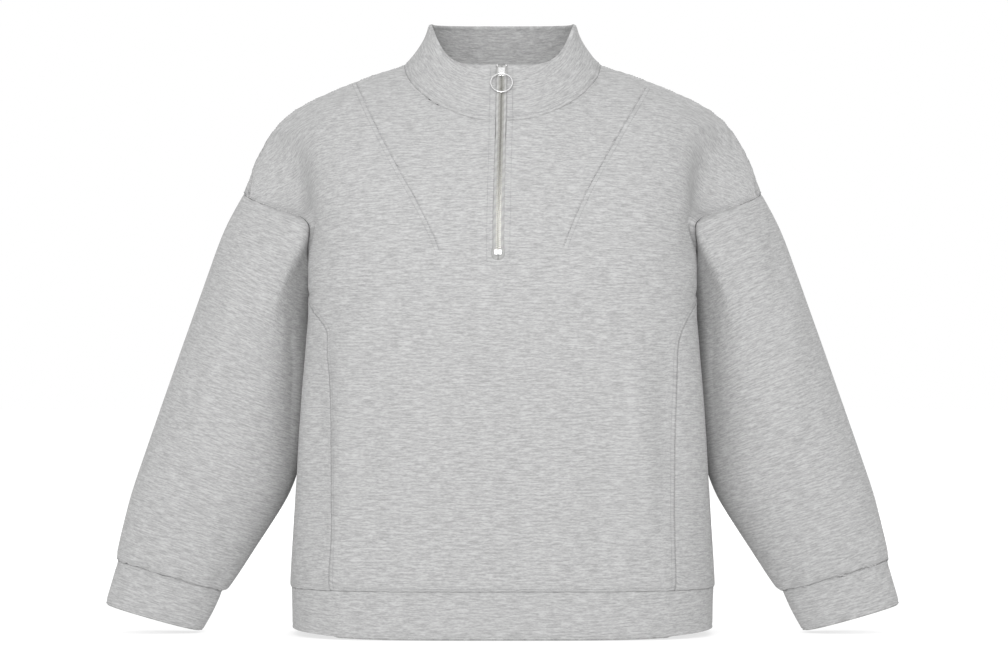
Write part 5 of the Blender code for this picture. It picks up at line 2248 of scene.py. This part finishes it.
@dataclass(frozen=True)
class Seams:
    """Where the garment is topstitched."""

    first: float = 0.0012  # the nearer row, from the seam
    second: float = 0.0062  # and the farther row
    collar_row: float = 0.0048
    hem_row: float = 0.0032
    dart_rows: Pair = (0.0009, 0.0056)  # to the outer side of a dart's seam
    dart_points: int = 70
    zip_row: float = 0.0132  # from the zip's middle
    zip_top: float = 0.004  # from the collar's rim
    zip_below: float = 0.0045  # below the foot of the opening
    zip_lift: float = 0.004  # in front of the zip, before the row is laid on the cloth
    zip_points: tuple[int, int] = (90, 9)  # down each side and across the foot
    face: float = 0.0010  # the cloth's face above the sheet
    band_face: float = 0.0008

    def beside(self, sheet: Sheet, side: Side) -> list[Array]:
        """The stitch lines beside the seams of one side.

        Args:
            sheet: the cloth.
            side: of the garment.

        Returns:
            Lines of points.
        """
        both = (self.first, self.second)
        sleeve, panel, cuff = (f"{piece}_{side.label}" for piece in ("sleeve", "side_panel", "cuff"))
        plan = (
            ("back_panel", "front_panel", both),
            ("front_panel", sleeve, both),
            ("back_panel", sleeve, both),
            (panel, sleeve, both),
            ("front_panel", panel, both),
            ("back_panel", panel, both),
            (sleeve, cuff, (self.first,)),
        )
        lines: list[Array] = []
        for first, second, offsets in plan:
            for points, ways in sheet.seam(first, second):
                if second == "front_panel" and points[:, 0].mean() * side.value < 0:
                    continue  # the shoulder seam of the other side
                lines += [points + ways * offset for offset in offsets]
        return lines

    def darts(self, sheet: Sheet) -> list[Array]:
        """The stitch lines along the dart seams.

        Args:
            sheet: the cloth.

        Returns:
            Lines of points on the front.
        """
        rows = []
        for side, corners in DARTS.items():
            line = np.array(corners)
            along = distances(line)
            ways = np.linspace(0.0, along[-1], self.dart_points)
            flat = np.array([curve_through(along, line, way) for way in ways])
            slope = np.gradient(flat, axis=0)
            aside = np.stack([slope[:, 1], -slope[:, 0]], axis=1)
            aside /= np.linalg.norm(aside, axis=1)[:, None]
            aside *= np.sign(aside[:, :1]) * side.value
            for offset in self.dart_rows:
                row = []
                for x, z in flat + aside * offset:
                    found = sheet.tree.ray_cast(Vector((x, -1.0, z)), Vector((0, 1, 0)))[0]
                    if found is not None:
                        row.append(found[:])
                rows.append(np.array(row))
        return rows

    def beside_zip(self, line: ZipLine) -> list[Array]:
        """The stitch lines on both sides of the zip and across its foot.

        Args:
            line: the zip.

        Returns:
            Lines of points just in front of the cloth.
        """
        low = line.foot + self.zip_below
        down, across = self.zip_points
        paths = [
            [(way, hand * self.zip_row) for way in np.linspace(self.zip_top, low, down)]
            for hand in (-1, 1)
        ]
        paths.append([(low, aside) for aside in np.linspace(-self.zip_row, self.zip_row, across)])
        return [
            np.array([line.place(way, aside, self.zip_lift)[:3, 3] for way, aside in path])
            for path in paths
        ]

    def sew(self, sheet: Sheet, line: ZipLine, thread: bpy.types.Material) -> None:
        """All the topstitching.

        Args:
            sheet: the cloth.
            line: the zip.
            thread: its finish.
        """
        stitches = Stitches()
        for side in Side:
            lines = self.beside(sheet, side)
            places = [p for points in lines for p in stitches.row(sheet, points, self.face)]
            stitches.sew(f"stitches_{side.label}", places, thread)
        places = []
        for other in ("front_panel", "back_panel"):
            for points, ways in sheet.seam("collar", other):
                places += stitches.row(sheet, points + ways * self.collar_row, self.band_face)
            for points, ways in sheet.seam(other, "hem_band"):
                places += stitches.row(sheet, points + ways * self.hem_row, self.face)
        for points in self.darts(sheet) + self.beside_zip(line):
            places += stitches.row(sheet, points, self.face)
        stitches.sew("stitches_middle", places, thread)


def build_cloth(panels: Panels, bands: Bands, arms: Arms, fleece: bpy.types.Material) -> Sheet:
    """The ten pieces of cloth.

    Args:
        panels: the front, back and sides.
        bands: the collar and the hem band.
        arms: the sleeves and cuffs.
        fleece: their finish.

    Returns:
        The sheet that they are cut from.
    """
    side, sleeve, cuff = panels.side(), arms.sleeve(), arms.cuff()
    slit = panels.yoke_steps + panels.slit_steps
    grids = (
        Grid("front_panel", panels.front(), Group.TORSO, slit=slit, level=True),
        Grid("back_panel", panels.back(), Group.TORSO, level=True),
        Grid("side_panel_right", side, Group.TORSO, level=True),
        Grid("side_panel_left", mirrored(side), Group.TORSO, level=True),
        Grid("sleeve_right", sleeve, Group.ARM, tube=True),
        Grid("sleeve_left", mirrored(sleeve), Group.ARM, tube=True),
        Grid("cuff_right", cuff, Group.ARM, folded=True, tube=True),
        Grid("cuff_left", mirrored(cuff), Group.ARM, folded=True, tube=True),
        Grid("collar", bands.collar(), Group.TORSO, folded=True),
        Grid("hem_band", bands.hem(), Group.TORSO, folded=True, tube=True),
    )
    sheet = Sheet(grids, FOLDS + Gathers().folds(arms.cuff_table))
    grooves = [
        Groove(start, end) for line in DARTS.values() for start, end in zip(line, line[1:])
    ]
    cloth = Cloth()
    for grid in grids:
        cloth.finish(sheet, grid, fleece, grooves if grid.node == "front_panel" else ())
    return sheet


def build_zip(line: ZipLine) -> None:
    """The zip, in its own finishes.

    Args:
        line: its middle.
    """
    tape = TAPE.build()
    teeth = Nickel("nickel_plated_teeth", colour="afaeaa", dark="97968f", roughness=0.42).build()
    metal = Nickel("polished_nickel_plating", colour="e8e8e8", dark="d4d4d4", roughness=0.24).build()
    made = Zip(line)
    for side in (Side.RIGHT, Side.LEFT):
        made.tape(side, tape)
    made.teeth(teeth)
    made.build_slider(metal)
    made.build_ring(metal)
    made.build_stops(metal)


def main() -> None:
    """Builds the camera, the cloth, its sewing, the zip and the studio, in that order."""
    logging.basicConfig(level=logging.INFO, format="%(message)s")
    studio = Studio()
    studio.camera()
    panels = Panels()
    bands, arms = Bands(panels), Arms(panels)
    line = ZipLine(panels, bands)
    sheet = build_cloth(panels, bands, arms, Heather().build())
    Seams().sew(sheet, line, THREAD.build())
    build_zip(line)
    studio.stage()
    studio.surroundings()


if __name__ == "__main__":
    main()
